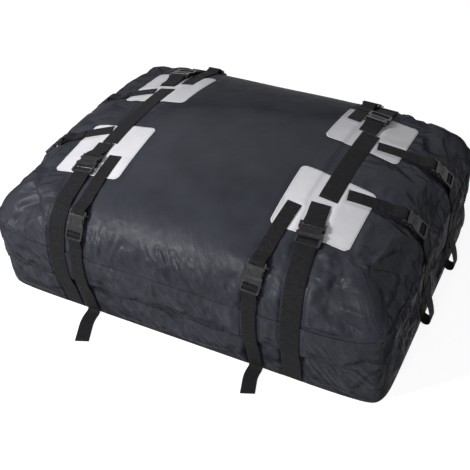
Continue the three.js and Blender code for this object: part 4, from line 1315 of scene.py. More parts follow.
class BagSkin:
    """The stuffed shell: lid and tub as one closed skin."""

    cells = (108, 84, 38)
    puffed_cells = (150, 118, 52)
    margin = 0.14
    box_height = 0.40
    shelf = 4.2 * MM

    def __init__(self, relief: Relief) -> None:
        """Takes the relief that the skin carries."""
        self.relief = relief

    def open_box(self, cells: tuple[int, int, int]) -> bmesh.types.BMesh:
        """Makes a cube, cut into even cells, with no floor."""
        bm = bmesh.new()
        bmesh.ops.create_cube(bm, size=1)
        for axis, count in enumerate(cells):
            along = [e for e in bm.edges if abs(e.verts[0].co[axis] - e.verts[1].co[axis]) > 0.5]
            bmesh.ops.subdivide_edges(bm, edges=along, cuts=count - 1, use_grid_fill=True)
        floor = [f for f in bm.faces if all(v.co.z < -0.4999 for v in f.verts)]
        bmesh.ops.delete(bm, geom=floor, context="FACES_ONLY")
        bmesh.ops.delete(bm, geom=[e for e in bm.edges if not e.link_faces], context="EDGES")
        bmesh.ops.delete(bm, geom=[v for v in bm.verts if not v.link_faces], context="VERTS")
        return bm

    def onto_form(self, cube: np.ndarray) -> np.ndarray:
        """Casts the cube's points out to the bag's form."""
        spread = cube * np.array([FORM.length, FORM.width, self.box_height])
        spread[:, 2] += self.box_height / 2
        inner = np.array([FORM.length / 2 - self.margin, FORM.width / 2 - self.margin])
        core = spread.copy()
        core[:, :2] = np.clip(spread[:, :2], -inner, inner)
        core[:, 2] = np.clip(spread[:, 2], 0, self.box_height - self.margin)
        return FORM.cast(core, spread - core)

    def dressed(self, points: np.ndarray) -> np.ndarray:
        """Moves points on the form to where the finished cloth lies."""
        normals = outward_at(points)
        normals[points[:, 2] < 1 * MM, 2] = 0
        z = points[:, 2]
        lip = self.shelf * (1 - ease(z, FLAP.top + 2 * MM, FLAP.top + 34 * MM))
        lip = lip * ease(z, FLAP.top - 12 * MM, FLAP.top - 5 * MM)
        half = FLAP.drop / 2
        under = 1 - ease(np.abs(z - (FLAP.top - half)), half - 26 * MM, half - 10 * MM)
        offset = self.relief.offset(points)
        offset = offset * (1 - under) + np.minimum(offset, 0) * under
        return points + normals * (offset + lip)[:, None]

    def blow_out(self, finishes: Finishes) -> None:
        """Simulates the cloth on a shell of its own and gives its shape to the relief."""
        shell = new_piece("puffed_shell", self.open_box(self.puffed_cells), finishes.cloth)
        write_places(shell.data, self.onto_form(read_places(shell.data)))
        PuffedCloth(self.relief).run(shell)
        self.relief.puffed = SkinProbe(shell).height
        bpy.data.objects.remove(shell)

    def build(self, finishes: Finishes) -> bpy.types.Object:
        """Builds the skin and closes its floor."""
        self.blow_out(finishes)
        bm = self.open_box(self.cells)
        piece = new_piece("bag_skin", bm, finishes.cloth)
        write_places(piece.data, self.onto_form(read_places(piece.data)))
        smoother = piece.modifiers.new("finer", "SUBSURF")
        smoother.levels = smoother.render_levels = 1
        baked(piece)
        write_places(piece.data, self.dressed(read_places(piece.data)))
        bm = bmesh.new()
        bm.from_mesh(piece.data)
        bmesh.ops.holes_fill(bm, edges=[e for e in bm.edges if e.is_boundary], sides=0)
        bmesh.ops.recalc_face_normals(bm, faces=bm.faces)
        bm.to_mesh(piece.data)
        bm.free()
        self.relief.paint(piece, read_places(piece.data))
        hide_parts("bag_body")
        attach(piece, "root")
        return piece


class SkinProbe:
    """Measures how far the finished skin stands off the bag's even form."""

    reach = 0.06

    def __init__(self, skin: bpy.types.Object) -> None:
        """Keeps the skin for ray casts."""
        graph = bpy.context.evaluated_depsgraph_get()
        self.tree = BVHTree.FromObject(skin, graph)

    def height(self, points: np.ndarray, normals: np.ndarray, missed: float = 0.0) -> np.ndarray:
        """Gives the skin's height over the form along each normal, or a set height where there is no skin."""
        heights = np.full(len(points), missed)
        for i, (point, normal) in enumerate(zip(points, normals)):
            start = Vector(point + normal * self.reach)
            hit = self.tree.ray_cast(start, -Vector(normal), 2 * self.reach)
            if hit[0] is not None:
                heights[i] = self.reach - hit[3]
        return heights


class GripPatches:
    """The four pale grip patches sewn to the lid."""

    cells = (68, 70)
    highest = 1.5 * MM
    rim = 0.4 * MM

    def lid_points(self, x: np.ndarray, y: np.ndarray) -> np.ndarray:
        """Finds the lid above level places."""
        core = np.stack([x, y, np.full_like(x, FORM.widest)], axis=1)
        return FORM.cast(core, np.repeat(UP[None], len(x), axis=0))

    def build(self, corner: CornerPlan, probe: SkinProbe, finishes: Finishes) -> bpy.types.Object:
        """Builds one patch on the finished skin."""
        bm = bmesh.new()
        bmesh.ops.create_grid(bm, x_segments=self.cells[0], y_segments=self.cells[1], size=0.5)
        name = f"grip_patch_{corner.name}"
        piece = new_piece(f"{name}_cloth", bm, finishes.grip)
        flat = read_places(piece.data)[:, :2] * np.array([PATCHES.length, PATCHES.width])
        half = np.array([PATCHES.length, PATCHES.width]) / 2 - PATCHES.corner
        over = np.clip(np.abs(flat) - half, 0, None)
        both = (over > 0).all(axis=1)
        reach = np.linalg.norm(over, axis=1)
        longest = np.max(over, axis=1)
        rounded = over * (longest / np.maximum(reach, 1e-9))[:, None]
        flat = np.where(both[:, None], np.sign(flat) * (half + rounded), flat)
        x = corner.end * PATCHES.centre_x + flat[:, 0]
        y = corner.face * PATCHES.centre_y + flat[:, 1]
        seat = self.lid_points(x, y)
        normals = FORM.normals(seat)
        lift = probe.height(seat, normals)
        lift = np.minimum(lift, self.highest) + SEAT_GAP * 0.4
        write_places(piece.data, seat + normals * lift[:, None])
        thicken(piece, PATCH_THICKNESS, 1.0, self.rim)
        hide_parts(name)
        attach(piece, "root")
        return piece


class StormFlap:
    """The band of cloth over the zip: sewn along its top, with a hem along its bottom."""

    around = 760
    rows = 18
    cloth = 1.2 * MM
    rim = 0.4 * MM
    billow = 3.0 * MM
    ripple = 1.6 * MM
    wave_limits = (-1.0 * MM, 7 * MM)

    def build(self, relief: Relief, finishes: Finishes) -> bpy.types.Object:
        """Builds the flap round the whole bag."""
        bm = bmesh.new()
        bmesh.ops.create_grid(bm, x_segments=self.around, y_segments=self.rows, size=0.5)
        piece = new_piece("storm_flap", bm, finishes.cloth)
        grid = read_places(piece.data)
        turn = (grid[:, 0] + 0.5) * math.tau
        drop = 0.5 - grid[:, 1]
        directions = np.stack([np.cos(turn), np.sin(turn), np.zeros_like(turn)], axis=1)
        directions = self.evened(directions)
        level = FORM.belt(directions, np.full(len(turn), FLAP.top - FLAP.drop / 2))
        held = relief.strap_mask(level, 30 * MM)
        top = FLAP.top_edge(level[:, 0], level[:, 1])
        bottom = FLAP.bottom_edge(level[:, 0], level[:, 1])
        top = FLAP.top + (top - FLAP.top) * (1 - held)
        bottom = (FLAP.top - FLAP.drop) + (bottom - FLAP.top + FLAP.drop) * (1 - held)
        points = FORM.belt(directions, top + (bottom - top) * drop)
        normals = FORM.normals(points)
        pressed = cover_height(points) - SEAT_GAP
        wave = relief.offset(points) * (1 - held)
        x, y = points[:, 0], points[:, 1]
        billow = self.billow * (0.6 + 0.4 * np.sin(23 * x + 19 * y)) * ease(drop, 0.35, 1.0)
        ripple = self.ripple * np.sin(61 * x - 57 * y + 2 * np.sin(9 * x)) * ease(drop, 0.2, 0.9)
        loose = FLAP_STANDOFF + np.clip(wave, *self.wave_limits) + billow + ripple
        lift = loose * (1 - held) + np.minimum(pressed, FLAP_STANDOFF) * held
        write_places(piece.data, points + normals * lift[:, None])
        bm = bmesh.new()
        bm.from_mesh(piece.data)
        bmesh.ops.remove_doubles(bm, verts=bm.verts, dist=0.05 * MM)
        bmesh.ops.recalc_face_normals(bm, faces=bm.faces)
        bm.normal_update()
        middles = ((face, face.calc_center_median()) for face in bm.faces)
        side = next(face for face, middle in middles if abs(middle.x) < 0.3 and middle.y < 0)
        if side.normal.y > 0:
            bmesh.ops.reverse_faces(bm, faces=bm.faces)
        bm.to_mesh(piece.data)
        bm.free()
        thicken(piece, self.cloth, -1.0, self.rim)
        baked(piece)
        relief.paint(piece, read_places(piece.data))
        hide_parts("zip_flap")
        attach(piece, "root")
        return piece

    def evened(self, directions: np.ndarray) -> np.ndarray:
        """Turns even angles into directions that are even along the rectangular wall."""
        share = (np.arctan2(directions[:, 1], directions[:, 0]) / math.tau) % 1.0
        a, b = FORM.length / 2, FORM.width / 2
        edge = share * 4 * (a + b)
        corners = np.array([0, b, b + 2 * a, 3 * b + 2 * a, 3 * b + 4 * a, 4 * b + 4 * a])
        xs = np.array([a, a, -a, -a, a, a])
        ys = np.array([0, b, b, -b, -b, 0])
        return unit(sampled(edge, corners, np.stack([xs, ys, np.zeros_like(xs)], axis=1)))


class Webbing:
    """Builds flat straps along their routes."""

    fineness = 4 * MM
    threaded_step = 2.4 * MM
    easings = 4
    columns = 8
    rim = 0.35 * MM

    def __init__(self, finishes: Finishes) -> None:
        """Keeps the finishes."""
        self.finishes = finishes

    def resampled(self, rows: Rows) -> tuple[Rows, np.ndarray]:
        """Sets extra rows along a route, so that it bends smoothly."""
        steps = np.linalg.norm(np.diff(rows.mid, axis=0), axis=1)
        along = np.concatenate([[0.0], np.cumsum(np.maximum(steps, 1e-6))])
        count = max(2, int(round(along[-1] / self.fineness)))
        even = np.union1d(np.linspace(0, along[-1], count + 1), along)
        even = even[np.concatenate([[True], np.diff(even) > 0.6 * MM])]
        mid, across = sampled(even, along, rows.mid), sampled(even, along, rows.across)
        gaps = np.diff(even)
        open_run = np.minimum(gaps[:-1], gaps[1:]) > self.threaded_step
        share = 0.5 * np.convolve(open_run, np.ones(5) / 5, mode="same")[:, None]
        for _ in range(self.easings):
            mid[1:-1] += share * ((mid[:-2] + mid[2:]) / 2 - mid[1:-1])
            across[1:-1] += share * ((across[:-2] + across[2:]) / 2 - across[1:-1])
        return Rows(mid, unit(across)), even

    def strap(self, name: str, rows: Rows, width: float, replaced: str, body: str | None) -> bpy.types.Object:
        """Builds one strap.

        Args:
            name: The piece's name.
            rows: Its middle line.
            width: The webbing's width.
            replaced: The CAD node that it stands for.
            body: The body it rides on, or None where it is left without one.

        Returns:
            The strap.
        """
        fine, along = self.resampled(rows)
        bm = bmesh.new()
        bmesh.ops.create_grid(bm, x_segments=self.columns, y_segments=len(along) - 1, size=0.5)
        sheet = bm.loops.layers.uv.new("strap")
        places = np.array([v.co[:2] for v in bm.verts]) + 0.5
        row = np.rint(places[:, 1] * (len(along) - 1)).astype(int)
        side = (places[:, 0] - 0.5) * width
        moved = fine.mid[row] + fine.across[row] * side[:, None]
        for face in bm.faces:
            for loop in face.loops:
                index = loop.vert.index
                loop[sheet].uv = (side[index], along[row[index]])
        for vert, place in zip(bm.verts, moved):
            vert.co = place
        piece = new_piece(name, bm, self.finishes.webbing)
        thicken(piece, WEB_THICKNESS, 0.0, self.rim)
        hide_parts(replaced)
        if body is not None:
            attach(piece, body)
        return piece


Outline = list[tuple[float, float]]


def rounded(corners: list[tuple[float, float, float]], steps: int = 5) -> Outline:
    """Draws a closed outline with round corners.

    Args:
        corners: Each corner's two coordinates and its radius, in millimetres.
        steps: How many stretches each round corner has.

    Returns:
        The outline's points, in metres.
    """
    outline: Outline = []
    for i, (x, y, radius) in enumerate(corners):
        here = np.array([x, y])
        before = np.array(corners[i - 1][:2])
        after = np.array(corners[(i + 1) % len(corners)][:2])
        start = here + unit(before - here) * radius
        end = here + unit(after - here) * radius
        for share in np.linspace(0, 1, steps + 1) if radius else (0.0,):
            point = start * (1 - share) ** 2 + here * 2 * share * (1 - share) + end * share**2
            outline.append((point[0] * MM, point[1] * MM))
    return outline


def mirrored(half: list[tuple[float, float, float]]) -> list[tuple[float, float, float]]:
    """Closes half an outline with its mirror image in the x axis."""
    return half + [(x, -y, radius) for x, y, radius in reversed(half)]


def oblong(start: float, end: float, half: float, radius: float) -> Outline:
    """Draws a rectangle with round corners, centred on the x axis, from sizes in millimetres."""
    return rounded([(start, -half, radius), (end, -half, radius), (end, half, radius), (start, half, radius)])


class Moulding:
    """A hard part made by joining and cutting plates that lie flat."""

    def __init__(self, name: str, outline: Outline, low: float, high: float) -> None:
        """Starts from one plate, between two heights in millimetres."""
        self.piece = self.plate(name, outline, low, high)

    def plate(self, name: str, outline: Outline, low: float, high: float) -> bpy.types.Object:
        """Makes one plate from its outline."""
        bm = bmesh.new()
        base = [bm.verts.new((x, y, low * MM)) for x, y in outline]
        face = bmesh.ops.contextual_create(bm, geom=base)["faces"]
        raised_face = bmesh.ops.extrude_face_region(bm, geom=face)
        tops = [part for part in raised_face["geom"] if isinstance(part, bmesh.types.BMVert)]
        bmesh.ops.translate(bm, verts=tops, vec=(0, 0, (high - low) * MM))
        bmesh.ops.recalc_face_normals(bm, faces=bm.faces)
        return linked(name, mesh_of(name, bm))

    def combine(self, operation: str, outline: Outline, low: float, high: float) -> "Moulding":
        """Joins a plate to the part, or cuts the part with it."""
        tool = self.plate("moulding_tool", outline, low, high)
        step = self.piece.modifiers.new("combine", "BOOLEAN")
        step.operation = operation
        step.solver = "EXACT"
        step.object = tool
        baked(self.piece)
        tool_mesh = tool.data
        bpy.data.objects.remove(tool)
        bpy.data.meshes.remove(tool_mesh)
        return self

    def join(self, outline: Outline, low: float, high: float) -> "Moulding":
        """Joins a plate to the part."""
        return self.combine("UNION", outline, low, high)

    def cut(self, outline: Outline, low: float, high: float) -> "Moulding":
        """Cuts the part with a plate."""
        return self.combine("DIFFERENCE", outline, low, high)

    def finished(self, material: bpy.types.Material, edge: float) -> bpy.types.Mesh:
        """Rounds the part's edges and gives its mesh.

        Args:
            material: The part's material.
            edge: The width of the rounding in millimetres.

        Returns:
            The finished mesh, in the buckle's own coordinates.
        """
        bm = bmesh.new()
        bm.from_mesh(self.piece.data)
        bmesh.ops.remove_doubles(bm, verts=bm.verts, dist=0.02 * MM)
        bmesh.ops.dissolve_limit(bm, angle_limit=math.radians(1), verts=bm.verts, edges=bm.edges)
        bm.to_mesh(self.piece.data)
        bm.free()
        self.piece.data.polygons.foreach_set("use_smooth", [True] * len(self.piece.data.polygons))
        soften(self.piece, edge * MM, 3, 30)
        self.piece.modifiers.new("flat_faces", "WEIGHTED_NORMAL").keep_sharp = True
        baked(self.piece)
        mesh = self.piece.data
        bpy.data.objects.remove(self.piece)
        mesh.materials.clear()
        mesh.materials.append(material)
        return mesh


class BuckleDesign:
    """One size of side release buckle: its socket and plug, moulded once and copied to each strap."""

    slot_margin = 1.0
    wall = 1.9
    side_wall = 2.2
    pocket_wall = 2.5
    waist_depth = 6.0
    prong = 5.0
    catch = 1.5

    def __init__(self, plan: BucklePlan, finishes: Finishes) -> None:
        """Moulds both halves."""
        self.plan = plan
        self.half = plan.width / 2 / MM
        self.slot_half = plan.web / 2 / MM + self.slot_margin
        self.bar, self.slot = plan.bar / MM, plan.slot / MM
        self.socket_length = plan.socket / MM
        self.rail = (plan.rail_low / MM, plan.rail_high / MM)
        self.shell = (plan.housing_lift / MM, plan.housing_high / MM)
        self.pocket_start = self.bar + self.slot + self.pocket_wall
        self.socket = self.mould_socket().finished(finishes.plastic, 0.55)
        self.plug = self.mould_plug().finished(finishes.plastic, 0.8)

    def mould_socket(self) -> Moulding:
        """Moulds the socket: a webbing bar, then a hollow housing with waisted sides and a ribbed panel."""
        half, length = self.half, self.socket_length
        start = self.bar + self.slot
        waist = half - self.waist_depth
        housing = rounded(mirrored([
            (start, half - 3.0, 2.0), (start + 5, half, 3.0), (start + 6.5, half, 1.0),
            (start + 9.5, waist, 3.0), (length - 10, waist, 3.5),
            (length - 6, half, 1.5), (length, half, 1.0),
        ]))
        part = Moulding("buckle_socket", oblong(0, start + 4, half, 3.5), *self.rail)
        part.join(housing, *self.shell)
        part.cut(oblong(self.bar, start, self.slot_half, 1.5), -1, 20)
        pocket = oblong(self.pocket_start, length + 3, half - self.side_wall, 1.2)
        part.cut(pocket, self.shell[0] + self.wall, self.shell[1] - self.wall)
        top = self.shell[1]
        panel = oblong(start + 5, length - 4.5, waist - 5, 2.5)
        part.cut(panel, top - 0.6, top + 2)
        for i in range(3):
            rib = length - 8.2 - 3.4 * i
            part.join(oblong(rib, rib + 1.5, waist - 9, 0.6), top - 1.0, top + 0.1)
        return part

    def mould_plug(self) -> Moulding:
        """Moulds the plug: two sprung prongs and a tongue, a flange, then the webbing's ladder."""
        plan, half = self.plan, self.half
        start, end = plan.start / MM, plan.end / MM
        slot_one, end_bar = plan.slot_one / MM, plan.end_bar / MM
        frame = rounded([(start, -half, 1.5), (end, -half, 6.0), (end, half, 6.0), (start, half, 1.5)])
        part = Moulding("buckle_plug", frame, *self.rail)
        part.cut(oblong(slot_one, end_bar, self.slot_half, 1.6), -1, 20)
        crossbar = plan.crossbar / MM
        top = self.rail[0] + plan.crossbar_thickness / MM
        part.join(oblong(crossbar, crossbar + self.bar, self.slot_half + 1, 0.5), self.rail[0], top)
        part.join(oblong(start, start + 3.2, half - 0.6, 1.0), self.rail[0] - 1.2, self.rail[1] + 1.2)
        low = self.shell[0] + self.wall + 0.4
        high = self.shell[1] - self.wall - 0.4
        part.join(self.prongs(), low, high)
        return part

    def prongs(self) -> Outline:
        """Draws the two prongs and the tongue between them, which fill the socket with a running gap."""
        outer = self.half - self.side_wall - 0.4
        tip = self.pocket_start + 0.4
        root = self.socket_length + 2
        crotch = root - 6
        inner = outer - self.prong
        catch_end = self.socket_length - 8
        tongue = 0.17 * self.plan.width / MM - 1.5
        return rounded(mirrored([
            (tip, tongue * 0.45, 1.0), (tip + 4, tongue, 2.0), (crotch, tongue, 1.5),
            (crotch, inner - 2, 1.5),
            (tip + 5, inner, 3.0), (tip, inner + 0.6, 1.2), (tip + 0.4, outer - 1.6, 1.2),
            (tip + 5, outer, 2.0), (catch_end - 3, outer, 0.8), (catch_end, outer - self.catch, 0.8),
            (root - 3, outer, 1.0), (root, outer, 0.3),
        ]), steps=4)


class BuckledStraps:
    """The twelve buckled straps of the four corners."""

    settle = 0.13
    foot = 0.03

    def __init__(self, finishes: Finishes) -> None:
        """Keeps the strap maker and moulds both sizes of buckle."""
        self.webbing = Webbing(finishes)
        self.buckles = {plan: BuckleDesign(plan, finishes) for plan in (WIDE_BUCKLE, NARROW_BUCKLE)}

    def build(self) -> list[bpy.types.Object]:
        """Builds every strap and buckle."""
        made = []
        for corner in CORNERS:
            for kind in StrapKind:
                made += self.strap_set(corner, kind)
        return made

    def strap_set(self, corner: CornerPlan, kind: StrapKind) -> list[bpy.types.Object]:
        """Builds one buckled strap: sewn strap, long end and buckle halves."""
        route = ROUTES[corner.name, kind]
        base = f"{corner.name}_{kind.value}"
        web = route.buckle.web
        sewn = self.webbing.strap(f"{base}_sewn", route.sewn_strap(), web, f"{base}_strap", "root")
        if kind is StrapKind.WIDE:
            rows, node = route.holding_end(), f"{base}_webbing"
        elif kind is StrapKind.NARROW:
            rows, node = route.floor_loop(corner.loop_reach), f"{base}_loop"
        else:
            rows, node = route.hanging_loop(), f"{base}_loop"
        plug = f"{base}_plug"
        long_end = self.webbing.strap(f"{base}_long_end", rows, web, node, None)
        baked(long_end)
        start = route.place(route.buckle.end, 0, 0)
        reach = min(route.leave + self.settle, route.lane.lengths[-1] - self.foot)
        end = route.lane.frames(np.array([reach])).point[0]
        tuple(end)
        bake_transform(long_end)
        maker = self.buckles[route.buckle]
        socket = self.half(f"{base}_socket", "root", route, maker.socket)
        return [sewn, long_end, socket, self.half(plug, plug, route, maker.plug)]

    def half(self, node: str, body: str, route: StrapRoute, design: bpy.types.Mesh) -> bpy.types.Object:
        """Places a copy of one moulding on its strap."""
        mesh = design.copy()
        mesh.name = f"{node}_moulding"
        axes = np.stack([route.run, route.across, route.outward])
        write_places(mesh, route.origin + read_places(mesh) @ axes)
        piece = linked(mesh.name, mesh)
        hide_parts(node)
        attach(piece, body)
        return piece


class Surfaces:
    """The finished cloth as seen from outside: whichever of its pieces stands out furthest."""

    deepest = 0.03

    def __init__(self, pieces: list[bpy.types.Object]) -> None:
        """Takes the pieces that make up the outside."""
        self.probes = [SkinProbe(piece) for piece in pieces]

    def onto(self, points: np.ndarray, lift: float) -> tuple[np.ndarray, np.ndarray]:
        """Moves points on the bag's even form out to the finished cloth.

        Args:
            points: Points on the form.
            lift: How far over the cloth they are to stand.

        Returns:
            The moved points and their outward directions.
        """
        normals = outward_at(points)
        height = np.max([probe.height(points, normals, -probe.reach) for probe in self.probes], axis=0)
        height = np.maximum(height, -self.deepest)
        return points + normals * (height + lift)[:, None], normals


def route_on_form(route: tuple[tuple[float, float, float], ...], step: float) -> np.ndarray:
    """Sets even points along a rough route and casts them onto the bag's form."""
    rough = np.array(route)
    along = run_lengths(rough)
    even = np.linspace(0, along[-1], max(2, int(along[-1] / step) + 1))
    points = sampled(even, along, rough)
    core = points * np.array([0.72, 0.66, 0.0])
    core[:, 2] = np.minimum(points[:, 2], 0.24)
    return FORM.cast(core, points - core)


class CornerSeams:
    """The bound seams that run up the corners of the tub, over the flap and in to the patches."""

    width = 3.6 * MM
    thickness = 0.6 * MM
    step = 4 * MM
    lift = 0.2 * MM
    rim = 0.3 * MM
    corner_up = ((0.554, -0.394, 0.003), (0.545, -0.394, 0.070), (0.542, -0.393, 0.127))
    corner_flap = ((0.541, -0.393, 0.137), (0.540, -0.393, 0.222))
    corner_lid = (
        (0.540, -0.392, 0.232), (0.535, -0.388, 0.270), (0.515, -0.373, 0.306), (0.490, -0.348, 0.328),
        (0.463, -0.321, 0.342), (0.440, -0.301, 0.350), (0.414, -0.280, 0.357),
    )
    lid_join = ((0.352, -0.314, 0.360), (0.410, -0.320, 0.352), (0.463, -0.321, 0.342))

    def build(
        self, surfaces: Surfaces, finishes: Finishes
    ) -> tuple[list[bpy.types.Object], list[np.ndarray]]:
        """Builds the seams of all four corners.

        Args:
            surfaces: The finished cloth.
            finishes: The finishes.

        Returns:
            The seam pieces, and the route of each on the bag's form.
        """
        pieces, routes = [], []
        for corner in CORNERS:
            turn = np.array([corner.end, -corner.face, 1])
            parts = [self.corner_up, self.corner_flap, self.corner_lid]
            if corner.face < 0:
                parts.append(self.lid_join)
            for number, part in enumerate(parts):
                points = route_on_form(tuple(tuple(np.array(p) * turn) for p in part), self.step)
                name = f"corner_seam_{corner.name}_{number + 1}"
                pieces.append(self.strip(name, points, surfaces, finishes))
                routes.append(points)
        return pieces, routes

    def strip(
        self, name: str, points: np.ndarray, surfaces: Surfaces, finishes: Finishes
    ) -> bpy.types.Object:
        """Builds one stretch of bound seam on the cloth."""
        mid, normals = surfaces.onto(points, self.lift)
        run = unit(np.gradient(mid, axis=0))
        across = unit(np.cross(normals, run))
        bm = bmesh.new()
        bmesh.ops.create_grid(bm, x_segments=2, y_segments=len(points) - 1, size=0.5)
        piece = new_piece(name, bm, finishes.cloth)
        grid = read_places(piece.data)
        row = np.rint((grid[:, 1] + 0.5) * (len(points) - 1)).astype(int)
        crown = (1 - np.abs(2 * grid[:, 0])) * self.thickness
        places = mid[row] + across[row] * (grid[:, :1] * self.width) + normals[row] * crown[:, None]
        write_places(piece.data, places)
        thicken(piece, self.thickness, -1.0, self.rim)
        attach(piece, "root")
        return piece


THREAD_LIFT = 0.1 * MM


class Stitches:
    """Rows of thread: along seams and hems, round the patches, and boxes with a cross on sewn webbing."""

    pitch = 4.2 * MM
    bead = (1.5 * MM, 0.36 * MM, 0.3 * MM)
    inset = 4 * MM

    def __init__(self, finishes: Finishes) -> None:
        """Starts with no rows."""
        self.finishes = finishes
        self.rows: dict[str, list[Matrix]] = {}

    def row(self, group: str, points: np.ndarray, normals: np.ndarray) -> None:
        """Sews one row of beads along points.

        Args:
            group: The name of the piece that holds the row.
            points: The row's route.
            normals: The outward direction at each point.
        """
        along = run_lengths(points)
        even = np.arange(self.pitch / 2, along[-1], self.pitch)
        places, outward = sampled(even, along, points), sampled(even, along, normals)
        run = unit(sampled(even + 1 * MM, along, points) - sampled(even - 1 * MM, along, points))
        across = unit(np.cross(outward, run))
        up = np.cross(run, across)
        for place, *axes in zip(places, run, across, up):
            turned = Matrix([axis * size for axis, size in zip(axes, self.bead)]).transposed().to_4x4()
            self.rows.setdefault(group, []).append(Matrix.Translation(place) @ turned)

    def on_strap(
        self, group: str, rows: Rows, outward: np.ndarray, start: float, end: float, web: float
    ) -> None:
        """Sews a box with a cross through webbing between two lengths of its middle line."""
        along = run_lengths(rows.mid)
        half = web / 2 - self.inset
        box = [(start, -half), (end, -half), (end, half), (start, half), (start, -half), (end, half)]
        for (l0, s0), (l1, s1) in list(zip(box, box[1:])) + [((start, half), (end, -half))]:
            share = np.linspace(0, 1, 14)
            length, side = l0 + (l1 - l0) * share, s0 + (s1 - s0) * share
            mid, across, normal = (sampled(length, along, part) for part in (rows.mid, rows.across, outward))
            places = mid + across * side[:, None] + normal * (WEB_THICKNESS / 2 + THREAD_LIFT)
            self.row(group, places, normal)

    def build(self) -> list[bpy.types.Object]:
        """Builds each group of rows as one piece."""
        pieces = []
        for group, places in self.rows.items():
            bm = bmesh.new()
            for place in places:
                bmesh.ops.create_icosphere(bm, subdivisions=1, radius=1.0, matrix=place)
            piece = new_piece(f"stitches_{group}", bm, self.finishes.thread)
            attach(piece, "root")
            pieces.append(piece)
        return pieces


class Sewing:
    """Lays out every row of stitches on the finished bag."""

    patch_inset = 3.5 * MM
    patch_points = 260
    flap_points = 1200
    beside_seam = 3.6 * MM
    sewn_start = 3 * MM
    sewn_length = 30 * MM

    def __init__(self, surfaces: Surfaces, stitches: Stitches) -> None:
        """Takes the finished cloth and the stitch maker."""
        self.surfaces = surfaces
        self.stitches = stitches

    def patches(self) -> None:
        """Sews round each grip patch, a little in from its edge."""
        half_x, half_y = PATCHES.length / 2 - self.patch_inset, PATCHES.width / 2 - self.patch_inset
        outline = np.array(oblong(-half_x / MM, half_x / MM, half_y / MM, PATCHES.corner / MM))
        outline = np.concatenate([outline, outline[:1]])
        along = run_lengths(outline)
        flat = sampled(np.linspace(0, along[-1], self.patch_points), along, outline)
        for corner in CORNERS:
            x = corner.end * PATCHES.centre_x + flat[:, 0]
            y = corner.face * PATCHES.centre_y + flat[:, 1]
            points, normals = self.surfaces.onto(GripPatches().lid_points(x, y), THREAD_LIFT)
            self.stitches.row(f"patch_{corner.name}", points, normals)

    def flap(self) -> None:
        """Sews the flap on along its top, and its hem along its bottom."""
        turn = np.linspace(0, math.tau, self.flap_points)
        directions = StormFlap().evened(np.stack([np.cos(turn), np.sin(turn), np.zeros_like(turn)], axis=1))
        for name, drop in (("flap_top", 5 * MM), ("flap_hem", FLAP.drop - FLAP.hem)):
            points = FORM.belt(directions, np.full(len(turn), FLAP.top - drop))
            points, normals = self.surfaces.onto(points, THREAD_LIFT)
            self.stitches.row(name, points, normals)

    def seams(self, routes: list[np.ndarray]) -> None:
        """Sews down both sides of each corner seam."""
        for route in routes:
            normals = outward_at(route)
            across = unit(np.cross(normals, unit(np.gradient(route, axis=0))))
            for side in (-1, 1):
                points, outward = self.surfaces.onto(route + across * side * self.beside_seam, THREAD_LIFT)
                self.stitches.row("corner_seams", points, outward)

    def webbing(self) -> None:
        """Sews the straps down with boxes and crosses."""
        for (corner, kind), route in ROUTES.items():
            web, group = route.buckle.web, f"straps_{corner}"
            first = route.sewn_at + self.sewn_start
            self.box(group, route.lane, first, first + self.sewn_length, 0.0, web)
            back = route.buckle_start - BUCKLE_LEAD
            self.box(group, route.lane, back - SEWN_RETURN + self.sewn_start, back, LAYER, web)
            if kind is StrapKind.WIDE:
                high, low = route.lane.at_height(0.207), route.lane.at_height(0.160)
                self.box(group, route.lane, high, low, 0.0, web)

    def box(self, group: str, lane: Lane, start: float, end: float, lift: float, web: float) -> None:
        """Sews one box with a cross on a lane."""
        frames = lane.frames(np.linspace(start, end, 12))
        rows = raised(frames, cover_height(frames.point) + lift)
        self.stitches.on_strap(group, rows, frames.outward, 0.0, end - start, web)

    def top_straps(self) -> None:
        """Sews both ends of each top strap."""
        for name in ("left", "right"):
            low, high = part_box(f"top_strap_{name}")
            for face in (-1, 1):
                lane = Lane((low[0] + high[0]) / 2, 0, 0, face)
                start = TOP_STRAP_REACH - 48 * MM
                self.box("top_straps", lane, start, TOP_STRAP_REACH - 4 * MM, 0.0, WIDE_BUCKLE.web)


class TopStraps:
    """The two wide straps sewn between the front and back patches, over the crown."""

    def build(self, webbing: Webbing) -> list[bpy.types.Object]:
        """Builds both straps."""
        return [self.strap(webbing, "left", -1), self.strap(webbing, "right", 1)]

    def strap(self, webbing: Webbing, name: str, end: int) -> bpy.types.Object:
        """Builds one strap over the crown."""
        node = f"top_strap_{name}"
        low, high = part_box(node)
        x = (low[0] + high[0]) / 2
        front, back = Lane(x, 0, 0, -1), Lane(x, 0, 0, 1)
        ahead = front.frames(front.spacing(TOP_STRAP_REACH, LANE_STEP))
        behind = back.frames(back.spacing(LANE_STEP, TOP_STRAP_REACH))
        first = raised(ahead, cover_height(ahead.point))
        second = raised(behind, cover_height(behind.point))
        rows = Rows.joined([first, Rows(second.mid, -second.across)])
        return webbing.strap(f"{node}_webbing", rows, WIDE_BUCKLE.web, node, "root")


